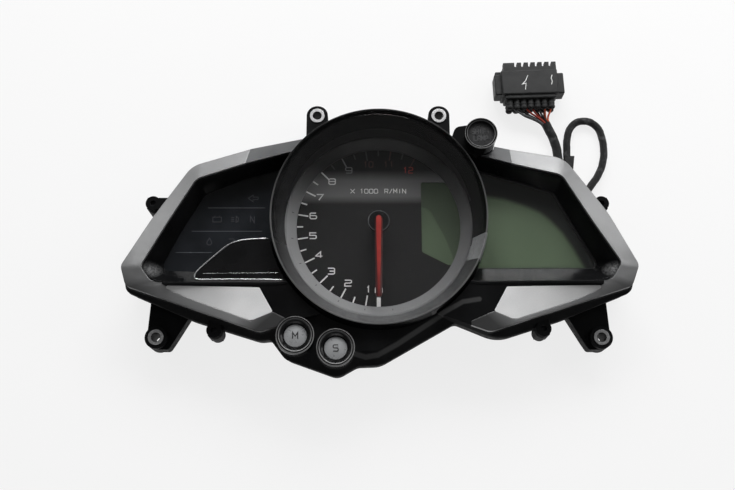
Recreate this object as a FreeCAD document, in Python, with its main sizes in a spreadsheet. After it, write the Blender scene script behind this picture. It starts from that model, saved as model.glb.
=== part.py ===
"""Motorcycle instrument cluster: a round tachometer between two wing windows, lying on its back.

The frame is millimetres.  The origin is where the tachometer's axis meets the flat back face,
+X runs to the rider's right, +Y to the top of the dial and +Z out of the dial towards the rider.
"""

import FreeCAD, Part
import math
import os
from collections import namedtuple

import Sketcher
from FreeCAD import Placement, Rotation, Vector

Corner = namedtuple("Corner", "x y radius")

doc = FreeCAD.newDocument("InstrumentCluster")
sheet = doc.addObject("Spreadsheet::Sheet", "Sizes")
SIZES = {}
SUBPARTS = []


# ------------------------------------------------------------------------------------------
# Driving dimensions
# ------------------------------------------------------------------------------------------
def size(alias, value):
    """Adds one driving dimension to the sheet."""
    row = len(SIZES) + 1
    sheet.set(f"A{row}", alias)
    sheet.set(f"B{row}", str(value))
    sheet.setAlias(f"B{row}", alias)
    SIZES[alias] = value


for alias, value in (
    # housings
    ("housing_wall", 2.2),
    ("floor_top", 2.5),
    ("board_bottom", 8.0),
    ("board_top", 9.6),
    ("split", 20.0),
    ("shoulder", 23.0),
    ("ceiling", 26.6),
    ("face", 29.0),
    ("wing_edge", 32.0),
    ("wing_ridge", 36.0),
    ("trim_bottom", 29.05),
    ("trim_thickness", 1.8),
    # dial and its glass
    ("dial_radius", 51.2),
    ("dial_gap", 0.4),
    ("dial_bottom", 21.0),
    ("dial_face", 22.0),
    ("guide_bottom", 18.6),
    ("spindle_hole", 2.4),
    ("hood_bore", 48.6),
    ("hood_neck", 51.4),
    ("hood_seat", 51.6),
    ("hood_foot", 56.0),
    ("hood_rim", 55.0),
    ("hood_mouth", 53.3),
    ("hood_rim_centre", 43.0),
    ("hood_tilt", 8.0),
    ("ring_bottom", 22.0),
    ("ring_top", 27.0),
    ("glass_drop", 3.4),
    ("glass_thickness", 1.5),
    # needle and its motor
    ("needle_bottom", 29.6),
    ("needle_top", 31.2),
    ("needle_reach", 41.0),
    ("needle_root_width", 4.4),
    ("needle_tip_width", 2.2),
    ("hub_radius", 5.7),
    ("hub_bottom", 23.4),
    ("hub_top", 33.0),
    ("spindle_radius", 0.75),
    ("spindle_clearance", 0.05),
    ("motor_radius", 14.5),
    ("motor_top", 17.6),
    # buttons
    ("collar_radius", 9.7),
    ("collar_lip", 7.8),
    ("collar_bore", 6.3),
    ("collar_top", 33.4),
    ("cap_radius", 5.9),
    ("cap_top", 31.0),
    ("cap_bottom", 25.6),
    ("stem_radius", 2.0),
    ("plunger_radius", 1.7),
    ("plunger_bottom", 12.4),
    ("plunger_top", 16.0),
    ("switch_top", 14.0),
    # fastening
    ("sleeve_radius", 4.0),
    ("sleeve_bore", 2.25),
    ("lug_radius", 5.8),
    ("ear_low", 6.0),
    ("ear_high", 17.0),
    ("boss_radius", 3.9),
    ("screw_radius", 1.45),
    ("screw_head_radius", 2.8),
    ("screw_top", 23.4),
    ("lamp_radius", 8.3),
    ("lamp_bore", 6.9),
    ("lamp_top", 45.6),
):
    size(alias, value)
doc.recompute()


# ------------------------------------------------------------------------------------------
# Outlines: lists of corners, each with the radius that rounds it
# ------------------------------------------------------------------------------------------
def outline(*rows):
    return [Corner(*row) for row in rows]


def inset(corners, distance):
    """Moves every edge of a counter-clockwise outline inward, as a wall's inner face lies."""
    moved = []
    for before, corner, after in neighbours(corners):
        start, middle, end = (Vector(c.x, c.y, 0) for c in (before, corner, after))
        into, out = (middle - start).normalize(), (end - middle).normalize()
        turn = into.cross(out).z
        normal_in, normal_out = Vector(-into.y, into.x, 0), Vector(-out.y, out.x, 0)
        reach = distance / (1 + normal_in.dot(normal_out))
        place = middle + (normal_in + normal_out) * reach
        growth = -distance if turn > 0 else distance
        radius = max(corner.radius + growth, 0.4) if corner.radius else 0.0
        moved.append(Corner(place.x, place.y, radius))
    return moved


def neighbours(corners):
    count = len(corners)
    return [(corners[i - 1], corners[i], corners[(i + 1) % count]) for i in range(count)]


def mirrored(corners):
    """The same outline on the other side of the dial, still counter-clockwise."""
    return [Corner(-c.x, c.y, c.radius) for c in reversed(corners)]


def rounded_edges(corners):
    """Line segments joined by tangent arcs."""
    spans = []
    for before, corner, after in neighbours(corners):
        place = Vector(corner.x, corner.y, 0)
        back = (Vector(before.x, before.y, 0) - place).normalize()
        ahead = (Vector(after.x, after.y, 0) - place).normalize()
        half = back.getAngle(ahead) / 2
        if corner.radius == 0 or half > math.radians(89.9):
            spans.append((place, None, place))
            continue
        middle = (back + ahead).normalize()
        run = corner.radius / math.tan(half)
        bulge = corner.radius / math.sin(half) - corner.radius
        spans.append((place + back * run, place + middle * bulge, place + ahead * run))
    edges = []
    for (start, middle, end), (following, _, _) in zip(spans, spans[1:] + spans[:1]):
        if middle is not None:
            edges.append(Part.Arc(start, middle, end))
        edges.append(Part.LineSegment(end, following))
    return edges


# ------------------------------------------------------------------------------------------
# Construction helpers: each makes one object of the document with its sizes bound to the sheet
# ------------------------------------------------------------------------------------------
def cell(alias):
    """An expression for an alias, or for a sum such as 'face + 2'."""
    return " ".join(f"Sizes.{word}" if word in SIZES else word for word in alias.split())


def bind(obj, **properties):
    for name, alias in properties.items():
        obj.setExpression(name.replace("__", "."), cell(str(alias)))
    return obj


def sketch_at(name, corners, level):
    sketch = doc.addObject("Sketcher::SketchObject", name)
    edges = rounded_edges(corners)
    sketch.addGeometry(edges, False)
    sketch.addConstraint([Sketcher.Constraint("Block", index) for index in range(len(edges))])
    return bind(sketch, Placement__Base__z=level)


def prism(name, corners, low, high):
    """A straight block over an outline, from one level up to another."""
    solid = doc.addObject("Part::Extrusion", name)
    solid.Base = sketch_at(name + "Outline", corners, low)
    solid.DirMode = "Custom"
    solid.Dir = Vector(0, 0, 1)
    solid.Solid = True
    return bind(solid, LengthFwd=f"( {high} ) - ( {low} )")


def loft(name, *sections):
    """A ruled block through outlines that have the same number of corners."""
    solid = doc.addObject("Part::Loft", name)
    solid.Sections = [
        sketch_at(f"{name}Section{index}", corners, level)
        for index, (corners, level) in enumerate(sections)
    ]
    solid.Solid = True
    solid.Ruled = True
    return solid


def cylinder(name, x, y, low, high, radius):
    solid = doc.addObject("Part::Cylinder", name)
    solid.Placement.Base = Vector(x, y, 0)
    return bind(solid, Radius=radius, Height=f"( {high} ) - ( {low} )", Placement__Base__z=low)


def box(name, x, y, width, depth, low, high):
    """A block centred on x and y."""
    solid = doc.addObject("Part::Box", name)
    solid.Placement.Base = Vector(x - width / 2, y - depth / 2, 0)
    bind(solid, Length=str(width), Width=str(depth))
    return bind(solid, Height=f"( {high} ) - ( {low} )", Placement__Base__z=low)


def leaning_disc(name, radius, drop, thickness):
    """A flat disc parallel to the hood's mouth, with its top this far below the mouth's rim."""
    lean = Rotation(Vector(1, 0, 0), SIZES["hood_tilt"])
    centre = Vector(0, 0, SIZES["hood_rim_centre"])
    foot = Vector(0, 0, -SIZES[drop] - SIZES[thickness])
    disc = doc.addObject("Part::Cylinder", name)
    disc.Placement = Placement(centre + lean.multVec(foot), lean)
    return bind(disc, Radius=radius, Height=thickness)


def disc_section(name, radius, level, lean=False):
    circle = doc.addObject("Part::Circle", name)
    bind(circle, Radius=radius, Placement__Base__z=level)
    if lean:
        circle.Placement.Rotation = Rotation(Vector(1, 0, 0), SIZES["hood_tilt"])
    return circle


def funnel(name, low_radius, low, high_radius, high):
    """A round block whose top circle leans with the hood's mouth."""
    solid = doc.addObject("Part::Loft", name)
    solid.Sections = [
        disc_section(name + "Foot", low_radius, low),
        disc_section(name + "Mouth", high_radius, high, lean=True),
    ]
    solid.Solid = True
    solid.Ruled = True
    return solid


def fuse(name, *solids):
    if len(solids) == 1:
        return solids[0]
    whole = doc.addObject("Part::MultiFuse", name)
    whole.Shapes = list(solids)
    return whole


def cut(name, base, *tools):
    whole = doc.addObject("Part::Cut", name)
    whole.Base = base
    whole.Tool = fuse(name + "Tools", *tools)
    return whole


def carve(name, base, *tools):
    """Cuts the tools away one after another."""
    for index, tool in enumerate(tools):
        step = doc.addObject("Part::Cut", f"{name}Step{index}")
        step.Base, step.Tool, step.Refine = base, tool, False
        base = step
    return base


def common(name, *solids):
    whole = doc.addObject("Part::MultiCommon", name)
    whole.Shapes = list(solids)
    return whole


def group(name, *solids):
    """Separate solids that share one node, such as a set of screws."""
    whole = doc.addObject("Part::Compound", name)
    whole.Links = list(solids)
    return whole


def turned(name, x, y, *profile):
    """A PartDesign body revolved about its own vertical axis; the profile's corners are cells."""
    body = doc.addObject("PartDesign::Body", name)
    sketch = body.newObject("Sketcher::SketchObject", name + "Profile")
    roles = {feature.Role: feature for feature in body.Origin.OriginFeatures}
    sketch.AttachmentSupport = [(roles["XZ_Plane"], "")]
    sketch.MapMode = "FlatFace"
    corners = [Vector(value_of(radius), value_of(level), 0) for radius, level in profile]
    ends = corners[1:] + corners[:1]
    sketch.addGeometry([Part.LineSegment(a, b) for a, b in zip(corners, ends)], False)
    count = len(corners)
    joints = [Sketcher.Constraint("Coincident", i, 2, (i + 1) % count, 1) for i in range(count)]
    sketch.addConstraint(joints)
    for index, (radius, level) in enumerate(profile):
        for kind, alias, value, axis in (
            ("DistanceX", radius, corners[index].x, -2),
            ("DistanceY", level, corners[index].y, -1),
        ):
            if alias == "0":
                sketch.addConstraint(Sketcher.Constraint("PointOnObject", index, 1, axis))
                continue
            number = sketch.addConstraint(Sketcher.Constraint(kind, -1, 1, index, 1, value))
            sketch.setExpression(f"Constraints[{number}]", cell(alias))
    turn = body.newObject("PartDesign::Revolution", name + "Turn")
    turn.Profile = sketch
    turn.ReferenceAxis = (sketch, ["V_Axis"])
    turn.Angle = 360
    body.Placement.Base = Vector(x, y, 0)
    return body


def value_of(alias):
    """The number behind a cell expression made of aliases, plain numbers, + and -."""
    total, sign = 0.0, 1
    for word in alias.split():
        if word in "+-":
            sign = 1 if word == "+" else -1
        else:
            total += sign * (SIZES[word] if word in SIZES else float(word))
    return total


def subpart(label, solid):
    """Names the finished piece; its label is also its file's name."""
    solid.Label = label
    SUBPARTS.append(solid)
    return solid


# ------------------------------------------------------------------------------------------
# The outlines of the object
# ------------------------------------------------------------------------------------------
COVER = outline(
    (-129.3, -35.0, 5), (-96, -49.3, 60), (-61, -60.2, 10), (-54.8, -59.6, 3),
    (-47.3, -69.6, 9), (-20.8, -79.1, 8), (-10.5, -73.2, 6), (1, -72.8, 14),
    (39.4, -50.8, 3), (61, -59.8, 20), (95, -48.9, 60), (129.3, -35.0, 5),
    (132.6, -23, 5), (118, 5.5, 80), (97.1, 35, 14), (70, 39.5, 40),
    (36, 46.3, 3), (24, 55.5, 22), (-24, 55.5, 22), (-36, 46.3, 3),
    (-66.4, 40.2, 40), (-97.5, 30.5, 14), (-117, 1.3, 80), (-131.6, -23.5, 5),
)

# Each wing: its outer edge, the opening at the ridge and the opening at the display, corner by
# corner from the lower inner end round the tip to the hood.
RIGHT_EDGE = outline(
    (55.5, -57.8, 7), (128, -34.3, 5), (132.3, -23, 5), (118, 5.5, 80),
    (97.1, 35, 14), (70, 39.5, 40), (28, 48.2, 0), (28, -48, 0),
)
RIGHT_RIDGE = outline(
    (50, -32.6, 20), (116.5, -31.9, 6), (122.3, -22.8, 4), (108.9, -1, 80),
    (94.6, 24.1, 7), (71.3, 29.6, 40), (28, 41.5, 0), (28, -30, 0),
)
RIGHT_SILL = outline(
    (50, -23, 20), (110.5, -22.9, 3), (113.2, -20.6, 3), (102.6, -1, 80),
    (92.4, 18.6, 4), (71.3, 25.6, 40), (28, 38, 0), (28, -20, 0),
)
LEFT_EDGE = mirrored(outline(
    (59.5, -58, 7), (128, -34.3, 5), (131.3, -23.5, 5), (117, 1.3, 80),
    (97.5, 30.5, 14), (66.4, 40.2, 40), (28, 48.2, 0), (28, -48, 0),
))
LEFT_RIDGE = mirrored(outline(
    (50, -33.0, 20), (113.8, -33, 7), (120, -24.8, 4), (107.7, -2, 80),
    (94, 21.8, 7), (71.3, 29.6, 40), (28, 41.5, 0), (28, -30, 0),
))
LEFT_SILL = mirrored(outline(
    (50, -24.6, 20), (108.6, -24.3, 3), (111.6, -22, 3), (102, -2, 80),
    (91, 17.2, 4), (71.3, 25.6, 40), (28, 38, 0), (28, -20, 0),
))
RIGHT_INSERT = outline(
    (57.3, -47.2, 0.8), (67.5, -51.2, 5), (98.5, -41.2, 60), (114.5, -34.2, 0.8), (63.9, -35.2, 0.8),
)
LEFT_INSERT = mirrored(outline(
    (52.9, -47.6, 0.8), (63.8, -52, 5), (93.1, -41.4, 60), (110, -34.4, 0.8), (59.7, -35.7, 0.8),
))
# What the silver trims cover: everything outside the window opening, the insert and the strip.
RIGHT_TRIM_FIELD = outline(
    (67.5, 60, 0), (69.4, 20, 0), (90, 10, 0), (112, -28, 0), (112.5, -33.6, 0), (98.5, -41.2, 0),
    (67.5, -51.2, 0), (57.3, -47.2, 0), (46, -52, 0), (46, -70, 0), (140, -70, 0), (140, 60, 0),
)
LEFT_TRIM_FIELD = mirrored(outline(
    (63, 60, 0), (71, 20, 0), (90, 10, 0), (108, -28, 0), (108.5, -33.8, 0), (93.1, -41.4, 0),
    (63.8, -52, 0), (52.9, -47.6, 0), (44, -52, 0), (44, -70, 0), (140, -70, 0), (140, 60, 0),
))
RIGHT_STRIP_FIELD = outline(
    (20, 60, 0), (20, 20, 0), (69.4, 20, 0), (67.5, 60, 0),
)
LEFT_STRIP_FIELD = mirrored(outline(
    (20, 60, 0), (20, 20, 0), (71, 20, 0), (63, 60, 0),
))
WINGS = {
    "right": (RIGHT_EDGE, RIGHT_RIDGE, RIGHT_SILL, RIGHT_INSERT, RIGHT_TRIM_FIELD, RIGHT_STRIP_FIELD),
    "left": (LEFT_EDGE, LEFT_RIDGE, LEFT_SILL, LEFT_INSERT, LEFT_TRIM_FIELD, LEFT_STRIP_FIELD),
}

BUTTONS = {"mode": (-41.7, -59.2), "set": (-21.5, -65.4)}
EARS = ((-33.2, 65), (33.2, 65))
FEET = ((-114, -57.5), (114, -57.5))
SIDE_LUGS = ((-118, 12.1), (116.8, 12.1))
LOW_LUGS = ((-83.2, -55.2), (83.2, -54.4))
BOARD_POSTS = ((-103, 8), (-90, -30), (88, -34), (111.5, -1), (20, -52), (-20, 44), (24, 44))

# ------------------------------------------------------------------------------------------
# Housings
# ------------------------------------------------------------------------------------------
SIDE_GAP = 1.2  # the rear housing stands this far inside the cover's skirt
HOUSING_POSTS = ((-60, -50.5), (57, -50), (-78, 30.6), (78, 31.4))


def tray(name, side, sole, low, middle, high):
    """A dished block: sloping below the middle level and straight above it."""
    return fuse(
        name,
        loft(name + "Sole", (inset(COVER, sole), low), (inset(COVER, side), middle)),
        prism(name + "Side", inset(COVER, side), middle, high),
    )


def ear_block(index, x, y):
    radius = SIZES["lug_radius"]
    corners = outline(
        (x - radius, 42, 0), (x + radius, 42, 0),
        (x + radius, y + radius, radius - 0.2), (x - radius, y + radius, radius - 0.2),
    )
    return prism(f"Ear{index}", corners, "ear_low", "ear_high")


def foot_block(index, x, y):
    side = 1 if x > 0 else -1
    corners = outline(
        (x + side * 5.6, y - 5.8, 5.2), (x + side * 4.2, y + 20, 0), (x - side * 19, y + 16, 0),
        (x - side * 8.6, y - 2, 2), (x - side * 6.2, y - 5.8, 2),
    )
    if side < 0:
        corners = corners[::-1]
    pad = cylinder(f"FootPad{index}", x, y, "4", "ear_high", "lug_radius")
    return fuse(f"Foot{index}", prism(f"FootPlate{index}", corners, "ear_low", "14"), pad)


def lug(name, x, y, reach_x, reach_y, low, high):
    """A screw lug with a web that ties it to the housing's side."""
    eye = cylinder(name + "Eye", x, y, low, high, "boss_radius")
    web = box(
        name + "Web", x + reach_x / 2, y + reach_y / 2, 6 + abs(reach_x), 6 + abs(reach_y), low, high
    )
    return fuse(name, eye, web)


def lug_places():
    """Every screw lug outside the housing, with the way back to the wall."""
    for x, y in SIDE_LUGS:
        yield x, y, math.copysign(7, -x), 0
    for x, y in LOW_LUGS:
        yield x, y, 0, 5


def screw_places():
    return [(x, y, "10") for x, y, _, _ in lug_places()] + [(x, y, "0") for x, y in HOUSING_POSTS]


def screw_void(name, x, y, low, top):
    """The counterbore and the hole of one housing screw."""
    head = cylinder(name + "Head", x, y, low, f"{low} + 2.2", "screw_head_radius")
    shank = cylinder(name + "Shank", x, y, low, top, "screw_radius")
    return fuse(name, head, shank)


outer = tray("HousingOuter", SIDE_GAP, 8, "0", "board_bottom", "split")
hollow = tray(
    "HousingHollow", SIDE_GAP + SIZES["housing_wall"], 8 + SIZES["housing_wall"],
    "floor_top", "board_bottom", "split",
)
ears = [ear_block(i, x, y) for i, (x, y) in enumerate(EARS)]
feet = [foot_block(i, x, y) for i, (x, y) in enumerate(FEET)]
lugs = [
    lug(f"RearLug{i}", x, y, dx, dy, "10", "split") for i, (x, y, dx, dy) in enumerate(lug_places())
]
posts = [
    cylinder(f"RearPost{i}", x, y, "0", "split", "boss_radius") for i, (x, y) in enumerate(HOUSING_POSTS)
]
stands = [
    cylinder(f"BoardStand{i}", x, y, "1", "board_bottom", "3.2") for i, (x, y) in enumerate(BOARD_POSTS)
]
sleeve_voids = [
    cylinder(f"SleeveVoid{i}", x, y, "0", "20", "sleeve_radius") for i, (x, y) in enumerate(EARS + FEET)
]
screw_voids = [
    screw_void(f"RearScrewVoid{i}", x, y, low, "split")
    for i, (x, y, low) in enumerate(screw_places())
]
stand_voids = [
    cylinder(f"StandVoid{i}", x, y, "3.4", "board_bottom", "1.1") for i, (x, y) in enumerate(BOARD_POSTS)
]

CABLE_ENTRY = Vector(106.0, 15.06, 4.6)  # where the loom leaves the board's side of the grommet
CABLE_TURN = Vector(117.6, 29.8, 4.0)
LOOP_RADIUS, LEAD_RADIUS, WIRE_RADIUS = 2.1, 2.6, 0.55
GROMMET_RADIUS, GROMMET_RIM = 3.2, 4.3


def along_entry(name, radius, start, length):
    """A round bar on the cable entry's axis."""
    way = (CABLE_TURN - CABLE_ENTRY).normalize()
    bar = doc.addObject("Part::Cylinder", name)
    bar.Radius, bar.Height = radius, length
    bar.Placement = Placement(CABLE_ENTRY + way * start, Rotation(Vector(0, 0, 1), way))
    return bar


seal_groove = cut(
    "SealGroove",
    prism("GrooveOuter", inset(COVER, 1.7), "split - 0.6", "split + 1"),
    prism("GrooveInner", inset(COVER, 2.9), "split - 1", "split + 2"),
)
grommet_body = fuse(
    "GrommetBody",
    along_entry("GrommetWaist", GROMMET_RADIUS, 0, 8.5),
    along_entry("GrommetRim", GROMMET_RIM, 5, 2),
)
subpart("cable_grommet", cut("GrommetBored", grommet_body, along_entry("GrommetBore", LOOP_RADIUS, -1, 11)))
entry_boss = along_entry("EntryBoss", GROMMET_RIM, -4, 9)
entry_void = along_entry("EntryVoid", GROMMET_RADIUS, -8, 20)

solid_housing = fuse("HousingSolid", outer, *ears, *feet, *lugs, entry_boss)
open_housing = cut("HousingOpen", solid_housing, hollow)
braced = fuse("HousingBraced", open_housing, *posts, *stands)
subpart(
    "rear_housing",
    cut(
        "HousingDone", braced, *sleeve_voids, *screw_voids, *stand_voids, entry_void, seal_groove,
    ),
)

# ------------------------------------------------------------------------------------------
# Front cover with its wings, trims, strips and inserts
# ------------------------------------------------------------------------------------------
LINER = 1.5  # wall of the window surrounds
WING_STEP = 0.4  # the wings stand this far inside the skirt


def wing_form(name, edge, ridge, side, low, edge_level, ridge_level):
    """The raised wing: upright sides, then a roof that climbs from the edge to the ridge."""
    return fuse(
        name,
        prism(name + "Side", inset(edge, side) if side else edge, low, edge_level),
        loft(name + "Roof", (inset(edge, side) if side else edge, edge_level), (ridge, ridge_level)),
    )


def well(name, sill, ridge, wall):
    """The window's funnel, widened by a wall."""
    return loft(name, (inset(sill, -wall), "dial_face + 1.7"), (inset(ridge, -wall), "wing_ridge"))


LAMP = Vector(52.5, 43.1, 0)
LAMP_NECK = outline((36, 38, 0), (52, 34, 0), (52, 51.4, 3), (40, 49.6, 4))
hood_column = cylinder("HoodColumn", 0, 0, "10", "60", "hood_foot + 0.2")
hood_seat = cylinder("HoodSeat", 0, 0, "face", "60", "hood_foot + 0.2")
dial_void = cylinder("DialVoid", 0, 0, "10", "60", "hood_seat")
lamp_void = fuse(
    "LampVoid",
    cylinder("LampColumn", LAMP.x, LAMP.y, "27", "60", "lamp_radius + 0.2"),
    prism("LampNeckVoid", inset(LAMP_NECK, -0.2), "face + 1", "60"),
)
button_voids = [
    cylinder(f"ButtonVoid{name.capitalize()}", x, y, "10", "face", "8.4")
    for name, (x, y) in BUTTONS.items()
]
button_columns = [
    cylinder(f"{name.capitalize()}Column", x, y, "face", "60", "collar_radius + 0.2")
    for name, (x, y) in BUTTONS.items()
]

wing_openings, cover_wings = [], []
for side, (wing_edge, ridge, sill, insert, trim_field, strip_field) in WINGS.items():
    tag = side.capitalize()
    edge = inset(wing_edge, WING_STEP)
    form = wing_form(tag + "Form", edge, ridge, 0, "shoulder - 0.6", "wing_edge", "wing_ridge")
    core = wing_form(
        tag + "Core", edge, ridge, SIZES["trim_thickness"], "10",
        "wing_edge - trim_thickness", "wing_ridge - trim_thickness",
    )
    insert_block = prism(tag + "InsertBlock", insert, "trim_bottom", "40")
    fields = {
        "wing_trim": cut(
            tag + "TrimField", prism(tag + "TrimBlock", trim_field, "trim_bottom", "40"),
            core, insert_block,
        ),
        "upper_strip": cut(
            tag + "StripField", prism(tag + "StripBlock", strip_field, "trim_bottom", "40"), core
        ),
        "lower_insert": cut(tag + "InsertField", insert_block, core),
    }
    ridge_void = prism(tag + "RidgeVoid", ridge, "20", "40")
    for piece, field in fields.items():
        shaped = common(f"{tag}{piece}Shaped", form, field)
        subpart(
            f"{side}_{piece}",
            carve(f"{tag}{piece}", shaped, ridge_void, hood_column, lamp_void, *button_columns),
        )
    lined = well(tag + "Lined", sill, ridge, LINER)
    opening = well(tag + "Opening", sill, ridge, 0)
    subpart(
        side + "_window_surround",
        carve(tag + "Liner", lined, opening, hood_column, lamp_void, *fields.values()),
    )
    hollow_block = cut(
        tag + "Hollow",
        prism(tag + "HollowBlock", inset(edge, 3.8), "shoulder - 1.2", "29.6"),
        well(tag + "HollowKeep", sill, ridge, LINER + 2),
        cylinder(tag + "HollowHood", 0, 0, "10", "60", "hood_foot + 2"),
    )
    bare = carve(tag + "Bare", form, *fields.values())
    cover_wings.append(
        carve(
            tag + "CoverWing", bare, lined, hollow_block, hood_seat, dial_void, lamp_void,
            prism(tag + "LensVoid", inset(sill, -LINER), "dial_bottom", "dial_face + 1.8"),
            *button_voids, *button_columns,
        )
    )
    wing_openings.append(prism(tag + "WingOpening", inset(edge, 2), "shoulder", "60"))
    subpart(
        side + "_window_lens",
        cut(
            tag + "Lens",
            prism(tag + "LensBlock", inset(sill, 0.1 - LINER), "dial_face + 0.2", "dial_face + 1.7"),
            cylinder(tag + "LensHood", 0, 0, "10", "40", "hood_seat + 1.8"),
        ),
    )

deck_outline = outline(
    (-92.6, -27.2, 1.5), (-92.4, -30.6, 1), (-40, -31.4, 0), (-40, -9.4, 0), (-67, -9.6, 6),
    (-74, -11.6, 6),
)
deck_block = prism("DeckBlock", deck_outline, "dial_face + 1.7", "33.6")
deck_hollow_outline = outline(
    (-87.4, -28.4, 1), (-40, -29.2, 0), (-40, -11.6, 0), (-66.6, -11.8, 4), (-72.8, -13.6, 4),
)
deck_hollow = prism("DeckHollow", deck_hollow_outline, "20", "31.6")
subpart(
    "tell_tale_deck",
    carve(
        "Deck",
        common("DeckShaped", deck_block, well("DeckWell", LEFT_SILL, LEFT_RIDGE, 0)),
        cylinder("DeckHood", 0, 0, "10", "60", "hood_foot + 0.2"),
        deck_hollow,
    ),
)

CHAMFER = 6.5  # width of the slope between the cover's face and its skirt
SKIRT = 2.6  # wall of the skirt
cover_plate = fuse(
    "CoverPlate",
    prism("CoverSkirt", COVER, "split", "shoulder"),
    loft("CoverSlope", (COVER, "shoulder"), (inset(COVER, CHAMFER), "face")),
    *[
        cylinder(f"ButtonBoss{name.capitalize()}", x, y, "split", "face", "collar_radius")
        for name, (x, y) in BUTTONS.items()
    ],
    *[
        cut(
            f"CoverLugBored{i}",
            lug(f"CoverLug{i}", x, y, dx, dy, "split", "25"),
            cylinder(f"CoverLugBore{i}", x, y, "split", "25", "screw_radius"),
        )
        for i, (x, y, dx, dy) in enumerate(lug_places())
    ],
)
cover_hollow = fuse(
    "CoverHollow",
    prism("CoverHollowSide", inset(COVER, SKIRT), "split", "22"),
    loft("CoverHollowSlope", (inset(COVER, SKIRT), "22"), (inset(COVER, CHAMFER + 1.9), "ceiling")),
)
cover_posts = [
    cut(
        f"CoverPostBored{i}",
        cylinder(f"CoverPost{i}", x, y, "split", "ceiling + 1", "boss_radius"),
        cylinder(f"CoverPostBore{i}", x, y, "split", "screw_top + 0.2", "screw_radius"),
    )
    for i, (x, y) in enumerate(HOUSING_POSTS)
]
cover_shell = carve(
    "CoverShell", cover_plate, cover_hollow, *wing_openings, dial_void, lamp_void, *button_voids
)
subpart("front_cover", fuse("Cover", cover_shell, *cover_wings, *cover_posts))

# ------------------------------------------------------------------------------------------
# Hood, its glass, the chapter ring and the dial
# ------------------------------------------------------------------------------------------
hood_solid = fuse(
    "HoodSolid",
    funnel("HoodOuter", "hood_foot", "face", "hood_rim", "hood_rim_centre"),
    cylinder("HoodNeck", 0, 0, "dial_face", "face", "hood_neck"),
)
hood_void = fuse(
    "HoodVoid",
    cylinder("HoodBore", 0, 0, "dial_face", "ring_top", "hood_bore"),
    funnel("HoodFunnel", "hood_bore", "ring_top", "hood_mouth", "hood_rim_centre"),
)
glass = common(
    "Glass",
    leaning_disc("GlassSlab", "65", "glass_drop", "glass_thickness"),
    funnel("GlassEdge", "hood_bore + 0.8", "ring_top", "hood_mouth + 0.8", "hood_rim_centre"),
)
subpart("tachometer_glass", glass)
subpart("tachometer_hood", cut("Hood", hood_solid, hood_void, glass))
subpart(
    "chapter_ring",
    turned(
        "ChapterRing", 0, 0, ("42.8", "ring_bottom"), ("hood_bore", "ring_bottom"),
        ("hood_bore", "ring_top"), ("47.7", "ring_top"), ("42.8", "ring_bottom + 0.6"),
    ),
)
DIAL_WINDOW = outline((22.5, -13.6, 1), (36, -20.6, 1), (60, -20.6, 0), (60, 24.9, 0), (22.5, 24.9, 1))
subpart(
    "dial_plate",
    cut(
        "Dial",
        cylinder("DialDisc", 0, 0, "dial_bottom", "dial_face", "dial_radius"),
        cylinder("DialCentre", 0, 0, "10", "40", "spindle_hole"),
        common(
            "DialWindow",
            prism("DialWindowBlock", DIAL_WINDOW, "15", "25"),
            cylinder("DialWindowRound", 0, 0, "10", "40", "46.5"),
        ),
    ),
)

# ------------------------------------------------------------------------------------------
# Needle and its motor
# ------------------------------------------------------------------------------------------
def needle_bar():
    """A tapering bar on top of the cap that dips towards its tip and points at zero."""
    bar = doc.addObject("Part::Wedge", "NeedleBar")
    root, tip = "needle_root_width", "needle_tip_width"
    bind(bar, Ymin="0 - needle_reach", Ymax="2.6")
    bind(bar, Xmin=f"0 - {tip} / 2", Xmax=f"{tip} / 2")
    bind(bar, X2min=f"0 - {root} / 2", X2max=f"{root} / 2")
    bind(bar, Zmin="needle_bottom", Zmax="needle_top")
    return bind(bar, Z2min="hub_top", Z2max="hub_top + 1.6")


SPINDLE_TOP = "hub_top - 1.5"
needle_blank = cut(
    "NeedleBlank", needle_bar(), cylinder("NeedleRest", 0, 0, "20", "hub_top", "hub_radius + 0.3")
)
subpart("needle", needle_blank)
cap_blank = turned(
    "CapBlank", 0, 0, ("0", "hub_bottom"), ("3.2", "hub_bottom"), ("3.6", "hub_top - 4"),
    ("hub_radius", "hub_top - 2.4"), ("hub_radius", "hub_top"), ("0", "hub_top"),
)
subpart(
    "needle_cap",
    cut("Cap", cap_blank, cylinder("CapBore", 0, 0, "20", SPINDLE_TOP, "spindle_radius")),
)
subpart("needle_spindle", cylinder("Spindle", 0, 0, "11", SPINDLE_TOP, "spindle_radius"))
motor_case = fuse(
    "MotorCase",
    cylinder("MotorRound", 0, 0, "board_top", "motor_top", "motor_radius"),
    cylinder("MotorNose", 0, 0, "motor_top", "motor_top + 0.8", "2"),
)
subpart(
    "stepper_motor",
    cut(
        "Motor", motor_case,
        cylinder("MotorBore", 0, 0, "10.6", "30", "spindle_radius + spindle_clearance"),
    ),
)
subpart(
    "dial_light_guide",
    carve(
        "Guide",
        cylinder("GuideDisc", 0, 0, "guide_bottom", "dial_bottom", "46"),
        cylinder("GuideCentre", 0, 0, "10", "40", "spindle_hole"),
        box("GuideSide", 43, 0, 50, 100, "10", "40"),
    ),
)
DIAL_LIGHTS = [(33 * math.cos(a), 33 * math.sin(a)) for a in map(math.radians, range(110, 260, 24))]


def chips(name, places, width, depth, low, high):
    """A set of equal square parts on the board, or of lamps on it."""
    return group(
        name,
        *[box(f"{name}{i}", x, y, width, depth, low, high) for i, (x, y) in enumerate(places)],
    )


subpart("dial_lights", chips("DialLight", DIAL_LIGHTS, 3.5, 2.8, "board_top", "board_top + 1.4"))

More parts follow.
